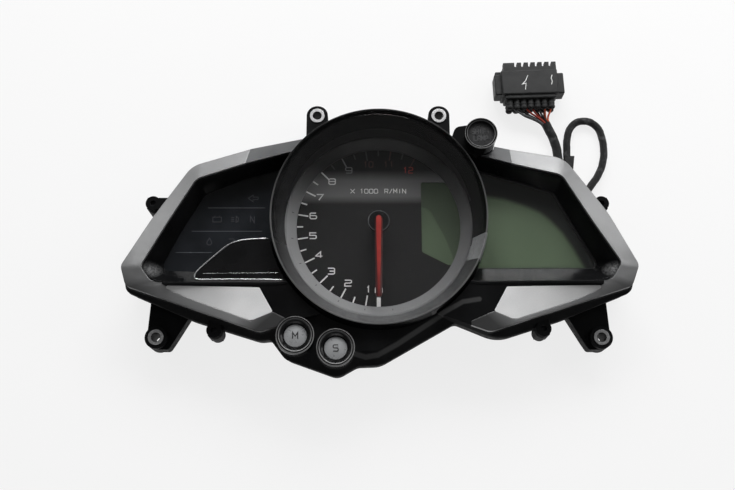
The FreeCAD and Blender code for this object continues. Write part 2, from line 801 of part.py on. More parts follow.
# ------------------------------------------------------------------------------------------
# Right display
# ------------------------------------------------------------------------------------------
DISPLAY = outline(
    (20, -25.6, 0.6), (112.4, -25.6, 1), (115.2, -20.9, 1), (93.8, 20.2, 1), (71.6, 27.2, 1),
    (20, 27.2, 0.6),
)
subpart("display_glass", prism("DisplayGlass", DISPLAY, "18", "20.6"))
subpart("display_light_guide", prism("DisplayGuide", inset(DISPLAY, 1.2), "14", "17.6"))
subpart(
    "display_holder",
    carve(
        "Holder",
        prism("HolderBlock", inset(DISPLAY, -1.8), "board_top", "20.6"),
        prism("HolderSeat", DISPLAY, "17.6", "21"),
        prism("HolderWell", inset(DISPLAY, 1.2), "12.6", "18"),
    ),
)
subpart(
    "display_mask",
    carve(
        "Mask",
        prism("MaskBlock", inset(RIGHT_SILL, -3.2), "dial_bottom", "dial_face + 0.2"),
        prism("MaskOpening", inset(RIGHT_SILL, 0.6), "15", "25"),
        cylinder("MaskHood", 0, 0, "10", "40", "dial_radius + dial_gap"),
    ),
)

# ------------------------------------------------------------------------------------------
# Left tell-tale lamps
# ------------------------------------------------------------------------------------------
LAMP_ROWS = (16.6, 4.0, -8.2, -19.2)
LAMP_COLUMNS = (-63, -74, -85)


def lamp_cells():
    """The tell-tale lamps' cells: rows that step outward with the slanting window."""
    return [
        (column - 4.2 * row_index, row)
        for row_index, row in enumerate(LAMP_ROWS)
        for column in LAMP_COLUMNS
    ]


subpart(
    "tell_tale_panel",
    carve(
        "Panel",
        prism("PanelBlock", inset(LEFT_SILL, -3.2), "dial_bottom", "dial_face + 0.2"),
        cylinder("PanelHood", 0, 0, "10", "40", "dial_radius + dial_gap"),
    ),
)
subpart(
    "tell_tale_light_box",
    carve(
        "LightBox",
        prism("LightBoxBlock", inset(LEFT_SILL, 0.5), "board_top", "dial_bottom"),
        cylinder("LightBoxHood", 0, 0, "5", "40", "dial_radius + dial_gap"),
        *[
            box(f"LightCell{i}", x, y, 8.4, 8.6, "5", "25")
            for i, (x, y) in enumerate(lamp_cells())
        ],
    ),
)
subpart(
    "tell_tale_lights",
    chips("TellTaleLight", lamp_cells(), 3.5, 2.8, "board_top", "board_top + 1.4"),
)

# ------------------------------------------------------------------------------------------
# Circuit board
# ------------------------------------------------------------------------------------------
BOARD_CLEARANCE = 4.2
subpart(
    "circuit_board",
    carve(
        "Board",
        prism("BoardBlock", inset(COVER, BOARD_CLEARANCE), "board_bottom", "board_top"),
        fuse(
            "BoardNotches",
            *[
                cylinder(f"BoardNotch{i}", x, y, "5", "15", "boss_radius + 0.5")
                for i, (x, y) in enumerate(HOUSING_POSTS)
            ],
            *[
                cylinder(f"BoardHole{i}", x, y, "5", "15", "1.6")
                for i, (x, y) in enumerate(BOARD_POSTS)
            ],
        ),
    ),
)
subpart(
    "board_screws",
    group(
        "BoardScrews",
        *[
            turned(
                f"BoardScrew{i}", x, y, ("0", "3.6"), ("1.1", "3.6"), ("1.1", "board_top"),
                ("2.4", "board_top"), ("2.1", "board_top + 1.6"), ("0", "board_top + 1.6"),
            )
            for i, (x, y) in enumerate(BOARD_POSTS)
        ],
    ),
)
subpart(
    "controller_chips",
    group(
        "Chips",
        box("Controller", 8, -37, 12, 12, "board_top", "board_top + 1.5"),
        box("Memory", 24, -37, 5, 6, "board_top", "board_top + 1.5"),
    ),
)
subpart("power_regulator", box("Regulator", 70, -38, 6.5, 6.1, "board_top", "board_top + 2.3"))
subpart(
    "smoothing_capacitors",
    group(
        "Capacitors",
        *[
            cylinder(f"Capacitor{i}", x, -40, "board_top", "board_top + 7", "3.1")
            for i, x in enumerate((46, 54))
        ],
    ),
)
subpart("board_header", box("Header", 92, 4, 14, 12, "3.2", "board_bottom"))

# ------------------------------------------------------------------------------------------
# Buttons
# ------------------------------------------------------------------------------------------
for name, (x, y) in BUTTONS.items():
    tag = name.capitalize()
    subpart(
        name + "_button_collar",
        turned(
            tag + "Collar", x, y, ("collar_bore", "27"), ("8.4", "27"), ("8.4", "face"),
            ("collar_radius", "face"), ("collar_radius", "collar_top - 0.8"),
            ("collar_radius - 0.6", "collar_top"), ("collar_lip + 0.5", "collar_top"),
            ("collar_lip", "collar_top - 0.8"), ("collar_lip - 0.4", "collar_top - 1.8"),
            ("collar_bore", "collar_top - 2.6"),
        ),
    )
    subpart(
        name + "_button",
        turned(
            tag + "Cap", x, y, ("0", "plunger_top"), ("stem_radius", "plunger_top"),
            ("stem_radius", "cap_bottom + 1.8"), ("cap_radius", "cap_bottom + 1.8"),
            ("cap_radius", "cap_top - 0.6"), ("cap_radius - 0.6", "cap_top"), ("0", "cap_top"),
        ),
    )
    subpart(
        name + "_switch_plunger",
        cylinder(tag + "Plunger", x, y, "plunger_bottom", "plunger_top", "plunger_radius"),
    )
subpart(
    "button_seals",
    group(
        "Seals",
        *[
            turned(
                f"Seal{name.capitalize()}", x, y, ("stem_radius + 0.3", "24.6"), ("8.4", "24.6"),
                ("8.4", "27"), ("collar_bore", "27"), ("collar_bore", "26.2"),
                ("stem_radius + 0.3", "26.2"),
            )
            for name, (x, y) in BUTTONS.items()
        ],
    ),
)
subpart(
    "button_switches",
    group(
        "Switches",
        *[
            cut(
                f"Switch{name.capitalize()}",
                box(f"SwitchCase{name.capitalize()}", x, y, 6.2, 6.2, "board_top", "switch_top"),
                cylinder(
                    f"SwitchBore{name.capitalize()}", x, y, "11", "20", "plunger_radius + 0.05"
                ),
            )
            for name, (x, y) in BUTTONS.items()
        ],
    ),
)

# ------------------------------------------------------------------------------------------
# Shift lamp
# ------------------------------------------------------------------------------------------
subpart(
    "shift_lamp_housing",
    carve(
        "LampHousing",
        fuse(
            "LampBody",
            turned(
                "LampBarrel", LAMP.x, LAMP.y, ("lamp_bore", "27"), ("lamp_radius", "27"),
                ("lamp_radius", "lamp_top"), ("lamp_bore + 0.4", "lamp_top"),
                ("lamp_bore", "lamp_top - 0.6"),
            ),
            prism("LampNeck", LAMP_NECK, "face + 1", "38"),
        ),
        cylinder("LampBore", LAMP.x, LAMP.y, "20", "60", "lamp_bore"),
        funnel("LampHood", "hood_foot", "face", "hood_rim", "hood_rim_centre"),
    ),
)
subpart(
    "shift_lamp_lens",
    cylinder("LampLens", LAMP.x, LAMP.y, "40.4", "43.2", "lamp_bore"),
)
subpart("shift_lamp_board", cylinder("LampBoard", LAMP.x, LAMP.y, "31", "32.4", "lamp_bore"))
subpart("shift_lamp_light", box("LampLight", LAMP.x, LAMP.y, 5, 5, "32.4", "34"))

# ------------------------------------------------------------------------------------------
# Fastening
# ------------------------------------------------------------------------------------------
def sleeves(name, places, low):
    return group(
        name,
        *[
            turned(
                f"{name}{i}", x, y, ("sleeve_bore", low), ("sleeve_radius", low),
                ("sleeve_radius", "ear_high + 0.6"), ("sleeve_bore", "ear_high + 0.6"),
            )
            for i, (x, y) in enumerate(places)
        ],
    )


subpart("upper_mount_sleeves", sleeves("UpperSleeve", EARS, "ear_low"))
subpart("lower_mount_sleeves", sleeves("LowerSleeve", FEET, "4"))
subpart(
    "housing_screws",
    group(
        "HousingScrews",
        *[
            turned(
                f"HousingScrew{i}", x, y, ("0", low), ("screw_head_radius", low),
                ("screw_head_radius", f"{low} + 2.2"), ("screw_radius", f"{low} + 2.2"),
                ("screw_radius", "screw_top"), ("0", "screw_top"),
            )
            for i, (x, y, low) in enumerate(screw_places())
        ],
    ),
)


# ------------------------------------------------------------------------------------------
# Harness: a taped loop from the cable entry to a boot under the wing, then a lead to the plug
# ------------------------------------------------------------------------------------------
LOOP_ROUTE = (
    (106.0, 15.06, 4.6), (117.6, 29.8, 4.0), (122.8, 37.4, 2.7), (125.7, 46.0, 2.3),
    (126.0, 54.8, 2.2), (124.2, 63.7, 2.3), (119.2, 68.0, 2.6), (112.6, 68.2, 2.8),
    (107.4, 64.2, 2.7), (105.0, 55.2, 2.7), (105.0, 45.5, 2.7),
)
LEAD_ROUTE = (
    (100.2, 35.5, 2.8), (100.2, 40.6, 2.8), (100.0, 45.8, 2.8), (99.6, 51.2, 2.8),
    (98.3, 56.5, 3.0), (96.1, 61.5, 3.7), (93.7, 65.9, 4.6),
)
PLUG = Placement(Vector(84.7, 86.6, 0), Rotation(Vector(0, 0, 1), 2))
PORT_PITCH, PORT_COUNT = 3.85, 7
PORT_ROWS = (9.2, 4.8)


def soft_path(route):
    """Straight runs joined by arcs as large as the runs allow, and the arcs' radii."""
    points = [Vector(*place) for place in route]
    edges, radii, start = [], [], points[0]
    for before, corner, after in zip(points, points[1:], points[2:]):
        back, ahead = before - corner, after - corner
        half_turn = (math.pi - back.getAngle(ahead)) / 2
        run = 0.45 * min(back.Length, ahead.Length)
        radii.append(run / math.tan(half_turn))
        back.normalize()
        ahead.normalize()
        bisector = (back + ahead).normalize()
        middle = corner + bisector * (radii[-1] / math.cos(half_turn) - radii[-1])
        first, last = corner + back * run, corner + ahead * run
        edges += [Part.LineSegment(start, first).toShape(), Part.Arc(first, middle, last).toShape()]
        start = last
    edges.append(Part.LineSegment(start, points[-1]).toShape())
    return Part.Wire(edges), radii


def tube(route, radius, name):
    """A round tube along a route, with its volume checked against its length."""
    path, radii = soft_path(route)
    start, way = Vector(*route[0]), Vector(*route[1]) - Vector(*route[0])
    ring = Part.Wire(Part.Circle(start, way, radius).toShape())
    solid = path.makePipeShell([ring], True, False)
    expected = math.pi * radius**2 * path.Length
    if abs(solid.Volume / expected - 1) > 0.02:
        raise RuntimeError(f"{name}: tube volume {solid.Volume:.0f}, expected {expected:.0f}")
    print(f"{name}: length {path.Length:.1f}, bend radii {', '.join(f'{r:.1f}' for r in radii)}")
    return solid


def shape_feature(name, shape):
    feature = doc.addObject("Part::Feature", name)
    feature.Shape = shape
    return feature


def port(column, row):
    """Where a wire enters the plug, in the cluster's frame."""
    across = (column - (PORT_COUNT - 1) / 2) * PORT_PITCH
    return PLUG.multVec(Vector(across, -8.0, PORT_ROWS[row]))


def wires():
    """Eleven wires from the end of the tape to the plug's ports, in three close layers."""
    end = Vector(*LEAD_ROUTE[-1])
    way = (end - Vector(*LEAD_ROUTE[-2])).normalize()
    across = way.cross(Vector(0, 0, 1)).normalize()
    rise = across.cross(way).normalize()
    gap = 2.15 * WIRE_RADIUS
    starts = [((c - 1.5) * gap, 0.87 * gap, 2 * c, 0) for c in range(4)]
    starts += [((c - 1) * gap, 0.0, 2 * c + 1, 0) for c in range(3)]
    starts += [((c - 1.5) * gap, -0.87 * gap, 1.4 * c + 0.9, 1) for c in range(4)]
    for side, up, column, row in starts:
        start = end + across * side + rise * up
        target = port(round(column), row)
        plug_way = PLUG.Rotation.multVec(Vector(0, 1, 0))
        lead_in = target - plug_way * 6.2
        yield [tuple(p) for p in (start, start + way * 2.0, lead_in, target)]


subpart("harness_loop", shape_feature("HarnessLoop", tube(LOOP_ROUTE, LOOP_RADIUS, "harness_loop")))
subpart("harness_lead", shape_feature("HarnessLead", tube(LEAD_ROUTE, LEAD_RADIUS, "harness_lead")))
subpart(
    "harness_wires",
    shape_feature(
        "HarnessWires",
        Part.Compound(
            [tube(route, WIRE_RADIUS, f"wire {i}") for i, route in enumerate(wires())]
        ),
    ),
)
# The boot's two faces are square to the cords' ends, and its back follows the housing's side.
boot_block = prism(
    "BootBlock",
    outline(
        (94.6, 24, 0), (104.6, 20, 0), (108.2, 45.5, 0), (103.0, 45.5, 0), (103.0, 35.5, 0),
        (95.8, 35.5, 0),
    ),
    "0.1", "7.2",
)
subpart("cable_boot", cut("Boot", boot_block, outer))


def plug_block(name, x, y, width, depth, low, high):
    """A block of the plug, given in the plug's own frame."""
    block = box(name, 0, 0, width, depth, low, high)
    block.setExpression("Placement.Base.z", None)
    local = Placement(Vector(x - width / 2, y - depth / 2, value_of(low)), Rotation())
    block.Placement = PLUG * local
    return block


def plug_bar(name, column, row, start, length, radius):
    """A round bar along one of the plug's ports."""
    across = (column - (PORT_COUNT - 1) / 2) * PORT_PITCH
    bar = doc.addObject("Part::Cylinder", name)
    bar.Radius, bar.Height = radius, length
    local = Placement(Vector(across, start, PORT_ROWS[row]), Rotation(Vector(1, 0, 0), -90))
    bar.Placement = PLUG * local
    return bar


ports = [(column, row) for row in range(len(PORT_ROWS)) for column in range(PORT_COUNT)]
plug_body = fuse(
    "PlugBody",
    plug_block("PlugCore", 0, 0.8, 31.4, 14.6, "0.6", "13.4"),
    plug_block("PlugEars", 0, 0.4, 38.8, 12.4, "2.4", "11.4"),
    plug_block("PlugTail", 0, -10, 28.4, 7.4, "1.6", "12.4"),
    plug_block("PlugNose", 0.6, 9.6, 29.4, 4.4, "1.4", "9.6"),
)
subpart(
    "connector_housing",
    cut(
        "PlugHousing",
        plug_body,
        *[plug_bar(f"Port{i}", c, r, -14, 6, 1.45) for i, (c, r) in enumerate(ports)],
        *[plug_bar(f"Cavity{i}", c, r, -8.1, 22, 0.8) for i, (c, r) in enumerate(ports) if r == 1],
        plug_block("LockSlot", 0.6, 9.0, 30.2, 8.0, "9.6", "14"),
    ),
)
subpart(
    "connector_lock",
    cut(
        "PlugLock",
        plug_block("LockBar", 0.6, 8.9, 29.4, 7.4, "9.6", "13.2"),
        *[
            plug_block(f"LockNotch{i}", 2.5 + (i - 2.5) * PORT_PITCH, 11.4, 1.5, 2.6, "9.6", "14")
            for i in range(6)
        ],
    ),
)
subpart(
    "connector_terminals",
    group(
        "Terminals",
        *[
            plug_bar(f"Terminal{i}", c, r, -7, 16, 0.8)
            for i, (c, r) in enumerate(ports)
            if r == 1
        ],
    ),
)
# The weather seal lies in the joint between the housings.
seal_ring = cut(
    "SealRing",
    prism("SealOuter", inset(COVER, 1.7), "split - 0.6", "split"),
    prism("SealInner", inset(COVER, 2.9), "split - 1", "split + 1"),
)
subpart("housing_seal", seal_ring)

# ------------------------------------------------------------------------------------------
# Checks and files
# ------------------------------------------------------------------------------------------
def report_faults():
    """Stops the build if any object failed or any sub-part isn't a sound solid."""
    faults = [
        f"{obj.Label}: {', '.join(obj.State)}"
        for obj in doc.Objects
        if {"Invalid", "Error", "Touched"} & set(obj.State)
    ]
    faults += [
        f"{piece.Label}: no valid shape"
        for piece in SUBPARTS
        if piece.Shape.isNull() or not piece.Shape.isValid() or not piece.Shape.Solids
    ]
    if faults:
        raise RuntimeError("; ".join(faults))


def write_files():
    os.makedirs("parts", exist_ok=True)
    for piece in SUBPARTS:
        piece.Shape.exportStep(f"parts/{piece.Label}.step")
        solids = piece.Shape.Solids
        box = piece.Shape.optimalBoundingBox()
        print(
            f"{piece.Label:26s} solids {len(solids):2d}  volume {piece.Shape.Volume:9.1f}  "
            f"x {box.XMin:7.1f} {box.XMax:7.1f}  y {box.YMin:6.1f} {box.YMax:6.1f}  "
            f"z {box.ZMin:5.1f} {box.ZMax:5.1f}"
        )


doc.recompute()
report_faults()
write_files()
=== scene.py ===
"""Motorcycle instrument cluster: finishes, prints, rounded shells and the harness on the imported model.

Sizes in the fields below are millimetres, and become metres when a mesh is built.
"""

import logging
import math
from collections.abc import Callable, Iterable, Sequence
from dataclasses import dataclass
from enum import Enum
from functools import cache

import bmesh
import bpy
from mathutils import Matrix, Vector


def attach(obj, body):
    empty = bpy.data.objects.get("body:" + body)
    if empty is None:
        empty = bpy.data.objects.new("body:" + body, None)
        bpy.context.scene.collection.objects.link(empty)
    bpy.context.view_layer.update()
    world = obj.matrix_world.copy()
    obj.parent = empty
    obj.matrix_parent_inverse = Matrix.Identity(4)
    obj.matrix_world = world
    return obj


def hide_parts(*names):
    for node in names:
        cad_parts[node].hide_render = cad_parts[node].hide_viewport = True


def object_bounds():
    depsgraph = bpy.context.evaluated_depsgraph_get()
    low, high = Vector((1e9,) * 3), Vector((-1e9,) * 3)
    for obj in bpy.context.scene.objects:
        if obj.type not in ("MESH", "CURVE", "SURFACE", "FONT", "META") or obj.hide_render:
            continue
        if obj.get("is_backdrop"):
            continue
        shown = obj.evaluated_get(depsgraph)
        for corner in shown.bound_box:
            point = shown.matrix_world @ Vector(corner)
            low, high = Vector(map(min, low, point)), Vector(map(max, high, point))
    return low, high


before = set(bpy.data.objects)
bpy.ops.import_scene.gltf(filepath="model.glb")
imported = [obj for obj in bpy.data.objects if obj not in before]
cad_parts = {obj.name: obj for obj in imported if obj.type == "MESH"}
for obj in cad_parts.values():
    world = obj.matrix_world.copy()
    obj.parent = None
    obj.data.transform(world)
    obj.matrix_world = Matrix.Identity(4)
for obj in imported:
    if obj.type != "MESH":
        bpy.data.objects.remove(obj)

MM = 0.001
LOG = logging.getLogger("cluster")
Point = tuple[float, float, float]
Flat = tuple[float, float]
Span = tuple[float, float]
Cloud = tuple[float, float]
Colour = tuple[float, float, float]
Socket = bpy.types.NodeSocket
Material = bpy.types.Material
Mesh = bpy.types.Mesh
Thing = bpy.types.Object
Number = float | Socket
Tone = Colour | Socket
Value = int | float | Material

MODE_PLACE: Flat = (-41.7, -59.2)
SET_PLACE: Flat = (-21.5, -65.4)
LAMP_PLACE: Flat = (52.5, 43.1)

# The width of a patch of a moulding's colour or gloss, and how many finer patches lie in it.
CLOUDS: Cloud = (14.0, 3.0)
WEAR: Cloud = (2.5, 4.0)


class Body(Enum):
    """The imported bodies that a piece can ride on."""

    CLUSTER = "cluster"
    NEEDLE = "needle"
    MODE = "mode_button"
    SET = "set_button"


class Slot(Enum):
    """The record's material slots, listed with the plug's rings."""

    BUTTON = "button_silver"
    CLEAR = "clear_lens"
    DIAL = "dial_charcoal"
    DISPLAY = "display"
    GLOSS = "gloss_black"
    LAMP = "lamp_lens"
    NEEDLE = "needle_red"
    PANEL = "panel_blue"
    PLUG = "plug_grey"
    RING = "ring_silver"
    RUBBER = "rubber"
    TAPE = "tape"
    WIRE = "wire"


class Weave(Enum):
    """How a moulded surface is grained: the grain's size and its depth."""

    POLISHED = (9.0, 0.004)
    SATIN = (0.45, 0.006)
    ETCHED = (0.7, 0.03)


def scaled(colour: Colour, factor: float, lift: float = 0.0) -> Colour:
    """A colour made darker or lighter, up to white."""
    return tuple(min(c * factor + lift, 1.0) for c in colour)


# Nodes
class Wiring:
    """Adds nodes to one tree and links them."""

    def __init__(self, tree: bpy.types.NodeTree) -> None:
        """Takes the tree."""
        self.tree = tree

    def add(self, kind: str, inputs: dict | None = None, **settings: object) -> bpy.types.Node:
        """Adds a node.

        Args:
            kind: the node's type.
            inputs: values or sockets for its inputs, by name or number.
            settings: the node's own properties.

        Returns:
            The new node.
        """
        node = self.tree.nodes.new(kind)
        for key, value in settings.items():
            setattr(node, key, value)
        for key, value in (inputs or {}).items():
            if isinstance(value, Socket):
                self.tree.links.new(value, node.inputs[key])
            else:
                node.inputs[key].default_value = value
        return node

    def number(self, operation: str, first: Number, second: Number = 0.0) -> Socket:
        """One step of arithmetic on two numbers."""
        return self.add("ShaderNodeMath", {0: first, 1: second}, operation=operation).outputs[0]

    def product(self, first: Number, second: Number) -> Socket:
        """Two numbers multiplied."""
        return self.number("MULTIPLY", first, second)


class Graph(Wiring):
    """The nodes of one material."""

    def __init__(self, name: str) -> None:
        """Starts an empty material.

        Args:
            name: the material's name.
        """
        self.material = bpy.data.materials.new(name)
        self.material.use_nodes = True
        super().__init__(self.material.node_tree)
        self.tree.nodes.clear()
        self.place = self.add("ShaderNodeTexCoord").outputs["Object"]

    def noise(self, size: float, detail: float = 2.0) -> Socket:
        """A cloud pattern from 0 to 1.

        Args:
            size: the width of one cloud.
            detail: how many finer octaves it has.

        Returns:
            The pattern's value.
        """
        inputs = {"Vector": self.place, "Scale": 1 / (size * MM), "Detail": detail}
        return self.add("ShaderNodeTexNoise", inputs).outputs["Fac"]

    def spread(
        self, value: Socket, low: float, high: float, start: float = 0.3, end: float = 0.7
    ) -> Socket:
        """Maps a value onto a range.

        Args:
            value: what is mapped.
            low: the result at start.
            high: the result at end.
            start: the value that gives low.
            end: the value that gives high.

        Returns:
            The mapped value.
        """
        inputs = {"Value": value, "From Min": start, "From Max": end, "To Min": low, "To Max": high}
        return self.add("ShaderNodeMapRange", inputs).outputs["Result"]

    def over(self, length: Socket, span: Span, low: float = 0.0, high: float = 1.0) -> Socket:
        """Maps a length within a span onto a range."""
        return self.spread(length, low, high, span[0] * MM, span[1] * MM)

    def mix(self, factor: Number, first: Tone, second: Tone) -> Socket:
        """Mixes two colours.

        Args:
            factor: how much of the second one shows.
            first: the colour at 0.
            second: the colour at 1.

        Returns:
            The mixed colour.
        """
        tones = {6: first, 7: second}
        inputs = {key: tone if isinstance(tone, Socket) else (*tone, 1) for key, tone in tones.items()}
        return self.add("ShaderNodeMix", {"Factor": factor, **inputs}, data_type="RGBA").outputs[2]

    def vector(
        self, operation: str, first: object, second: object = (0, 0, 0), output: str = "Vector"
    ) -> Socket:
        """One step of arithmetic on two vectors."""
        return self.add("ShaderNodeVectorMath", {0: first, 1: second}, operation=operation).outputs[output]

    def parts(self, vector: Socket) -> tuple[Socket, Socket, Socket]:
        """The three parts of a vector."""
        return tuple(self.add("ShaderNodeSeparateXYZ", {"Vector": vector}).outputs)

    def from_axis(self, axis: Flat = (0.0, 0.0), place: Socket | None = None) -> Socket:
        """The distance from an upright axis.

        Args:
            axis: where the axis stands.
            place: coordinates other than the object's own.

        Returns:
            The distance, in metres.
        """
        moved = self.vector("SUBTRACT", place or self.place, (axis[0] * MM, axis[1] * MM, 0))
        return self.vector("LENGTH", self.vector("MULTIPLY", moved, (1, 1, 0)), output="Value")

    def relief(self, height: Socket, depth: float, edge: float = 0.0) -> Socket:
        """A bumped normal on edges that look rounded.

        Args:
            height: the pattern that stands proud.
            depth: how far it stands proud.
            edge: the radius that sharp edges seem to have.

        Returns:
            The normal.
        """
        inputs = {"Height": height, "Distance": depth * MM, "Strength": 1.0}
        if edge:
            rounded_edge = self.add("ShaderNodeBevel", {"Radius": edge * MM}, samples=6)
            inputs["Normal"] = rounded_edge.outputs["Normal"]
        return self.add("ShaderNodeBump", inputs).outputs["Normal"]

    def grained(self, weave: Weave, edge: float) -> Socket:
        """The normal of a moulded surface with its edges rounded."""
        size, depth = weave.value
        return self.relief(self.noise(size), depth, edge)

    def surface(self, **inputs: object) -> Socket:
        """A Principled shader with these inputs, written with _ for spaces."""
        named = {key.replace("_", " "): value for key, value in inputs.items()}
        return self.add("ShaderNodeBsdfPrincipled", named).outputs[0]

    def finish(self, shader: Socket) -> Material:
        """Shows the shader and hands out the material."""
        self.add("ShaderNodeOutputMaterial", {"Surface": shader})
        return self.material

    def coated(self, **inputs: object) -> Material:
        """The material with a Principled shader."""
        return self.finish(self.surface(**inputs))


# Finishes
@dataclass(frozen=True)
class Finish:
    """A named finish."""

    name: str

    def material(self) -> Material:
        """Builds the material, which each kind of finish does in its own way."""
        raise NotImplementedError(self.name)


@dataclass(frozen=True)
class Moulding(Finish):
    """Moulded plastic or rubber, from polished to etched."""

    colour: Colour
    roughness: float
    weave: Weave = Weave.SATIN
    edge: float = 0.35
    index: float = 1.42

    def material(self) -> Material:
        """Builds the material.

        Returns:
            The material.
        """
        graph = Graph(self.name)
        clouds = graph.spread(graph.noise(*CLOUDS), 0, 1)
        colour = graph.mix(clouds, scaled(self.colour, 0.8), scaled(self.colour, 1.2, 0.002))
        rough = graph.spread(graph.noise(*WEAR), self.roughness * 0.8, self.roughness * 1.25)
        normal = graph.grained(self.weave, self.edge)
        return graph.coated(Base_Color=colour, Roughness=rough, Normal=normal, IOR=self.index)


@dataclass(frozen=True)
class Paint(Finish):
    """Silver paint with fine flakes under a thin clear coat."""

    colour: Colour
    roughness: float = 0.34
    metallic: float = 0.45
    flake_depth: float = 0.004
    edge: float = 0.35
    flakes: Cloud = (0.16, 1.0)
    patches: Cloud = (22.0, 2.0)
    sparkle: Span = (0.38, 0.62)
    coat: float = 0.2

    def shade(self, graph: Graph, colour: Socket) -> Socket:
        """The colour as it is."""
        return colour

    def material(self) -> Material:
        """Builds the material.

        Returns:
            The material.
        """
        graph = Graph(self.name)
        flakes = graph.noise(*self.flakes)
        patches = graph.noise(*self.patches)
        both = graph.number("ADD", graph.product(flakes, 0.5), graph.product(patches, 0.5))
        sparkle = graph.spread(both, 0, 1, *self.sparkle)
        colour = graph.mix(sparkle, scaled(self.colour, 0.88), scaled(self.colour, 1.08))
        rough = graph.spread(graph.noise(3, 3), self.roughness * 0.85, self.roughness * 1.2)
        return graph.coated(
            Base_Color=self.shade(graph, colour), Roughness=rough, Metallic=self.metallic,
            Normal=graph.relief(flakes, self.flake_depth, self.edge),
            Coat_Weight=self.coat, Coat_Roughness=self.coat,
        )


@dataclass(frozen=True)
class Fade:
    """A painted shade: a soft darkening along a direction in the front plane, mirrored about the middle."""

    across: float
    up: float
    span: Span
    amount: float


@dataclass(frozen=True)
class FadedPaint(Paint):
    """Silver paint with painted shade, which darkens it towards an edge."""

    fades: tuple[Fade, ...] = ()

    def shade(self, graph: Graph, colour: Socket) -> Socket:
        """Darkens the paint's colour along each of its painted shades.

        Args:
            graph: the material's nodes.
            colour: the paint's colour.

        Returns:
            The darkened colour.
        """
        across = graph.parts(graph.vector("ABSOLUTE", graph.place))[0]
        up = graph.parts(graph.place)[1]
        # Painted shade: each fade darkens the silver along its direction.
        for fade in self.fades:
            along = graph.number("ADD", graph.product(across, fade.across), graph.product(up, fade.up))
            level = graph.over(along, fade.span, 1, fade.amount)
            grey = graph.add("ShaderNodeCombineXYZ", {"X": level, "Y": level, "Z": level}).outputs[0]
            colour = graph.vector("MULTIPLY", colour, grey)
        return colour


@dataclass(frozen=True)
class Metal(Finish):
    """Bare metal with turning or drawing marks and dull patches."""

    colour: Colour
    roughness: float = 0.3
    dents: Cloud = (1.2, 4.0)
    dulling: Cloud = (0.5, 3.0)

    def material(self) -> Material:
        """Builds the material.

        Returns:
            The material.
        """
        graph = Graph(self.name)
        worn = graph.noise(*self.dents)
        colour = graph.mix(graph.spread(worn, 0, 1), scaled(self.colour, 0.75), self.colour)
        rough = graph.spread(graph.noise(*self.dulling), self.roughness * 0.7, self.roughness * 1.5)
        normal = graph.relief(worn, 0.02, 0.2)
        return graph.coated(Base_Color=colour, Roughness=rough, Metallic=1.0, Normal=normal)


@dataclass(frozen=True)
class Pane(Finish):
    """Clear plastic that lets the lamps through."""

    tint: Colour = (1.0, 1.0, 1.0)
    index: float = 1.35

    def material(self) -> Material:
        """Builds the material.

        Returns:
            The material.
        """
        graph = Graph(self.name)
        tint = (*self.tint, 1)
        clear = graph.surface(Base_Color=tint, Roughness=0.0, Transmission_Weight=1.0, IOR=self.index)
        open_way = graph.add("ShaderNodeBsdfTransparent", {"Color": tint}).outputs[0]
        shadow = graph.add("ShaderNodeLightPath").outputs["Is Shadow Ray"]
        return graph.finish(graph.add("ShaderNodeMixShader", {0: shadow, 1: clear, 2: open_way}).outputs[0])


@dataclass(frozen=True)
class Film(Finish):
    """A strip of clear tape, dulled by fine dirt."""

    colour: Colour
    cover: float
    streaks: Cloud = (1.4, 4.0)
    roughness: float = 0.28

    def material(self) -> Material:
        """Builds the material.

        Returns:
            The material.
        """
        graph = Graph(self.name)
        streaks = graph.noise(*self.streaks)
        colour = graph.mix(graph.spread(streaks, 0, 1), scaled(self.colour, 0.7), self.colour)
        normal = graph.relief(streaks, 0.03)
        return graph.coated(Base_Color=colour, Roughness=self.roughness, Alpha=self.cover, Normal=normal)


@dataclass(frozen=True)
class DialFace(Finish):
    """The charcoal dial, with a painted reflection: a soft lighter band above its middle."""

    name: str = "dial_charcoal_print"
    rise: Span = (12.5, 17.0)
    fall: Span = (25.5, 31.5)
    grain: Cloud = (0.25, 1.0)
    dark: Colour = (0.0055, 0.0055, 0.0057)
    # the lighter colour is a painted reflection
    light: Colour = (0.100, 0.100, 0.1005)
    speck: Colour = (0.02, 0.02, 0.0205)

    def material(self) -> Material:
        """Builds the material.

        Returns:
            The material.
        """
        graph = Graph(self.name)
        up = graph.parts(graph.place)[1]
        grain = graph.noise(*self.grain)
        # Painted reflection: lighter between the rise and the fall.
        band = graph.product(graph.over(up, self.rise), graph.over(up, self.fall, 1, 0))
        base = graph.mix(band, self.dark, self.light)
        colour = graph.mix(graph.spread(grain, 0, 0.12), base, self.speck)
        normal = graph.relief(grain, 0.006)
        return graph.coated(Base_Color=colour, Roughness=0.5, IOR=1.25, Normal=normal)


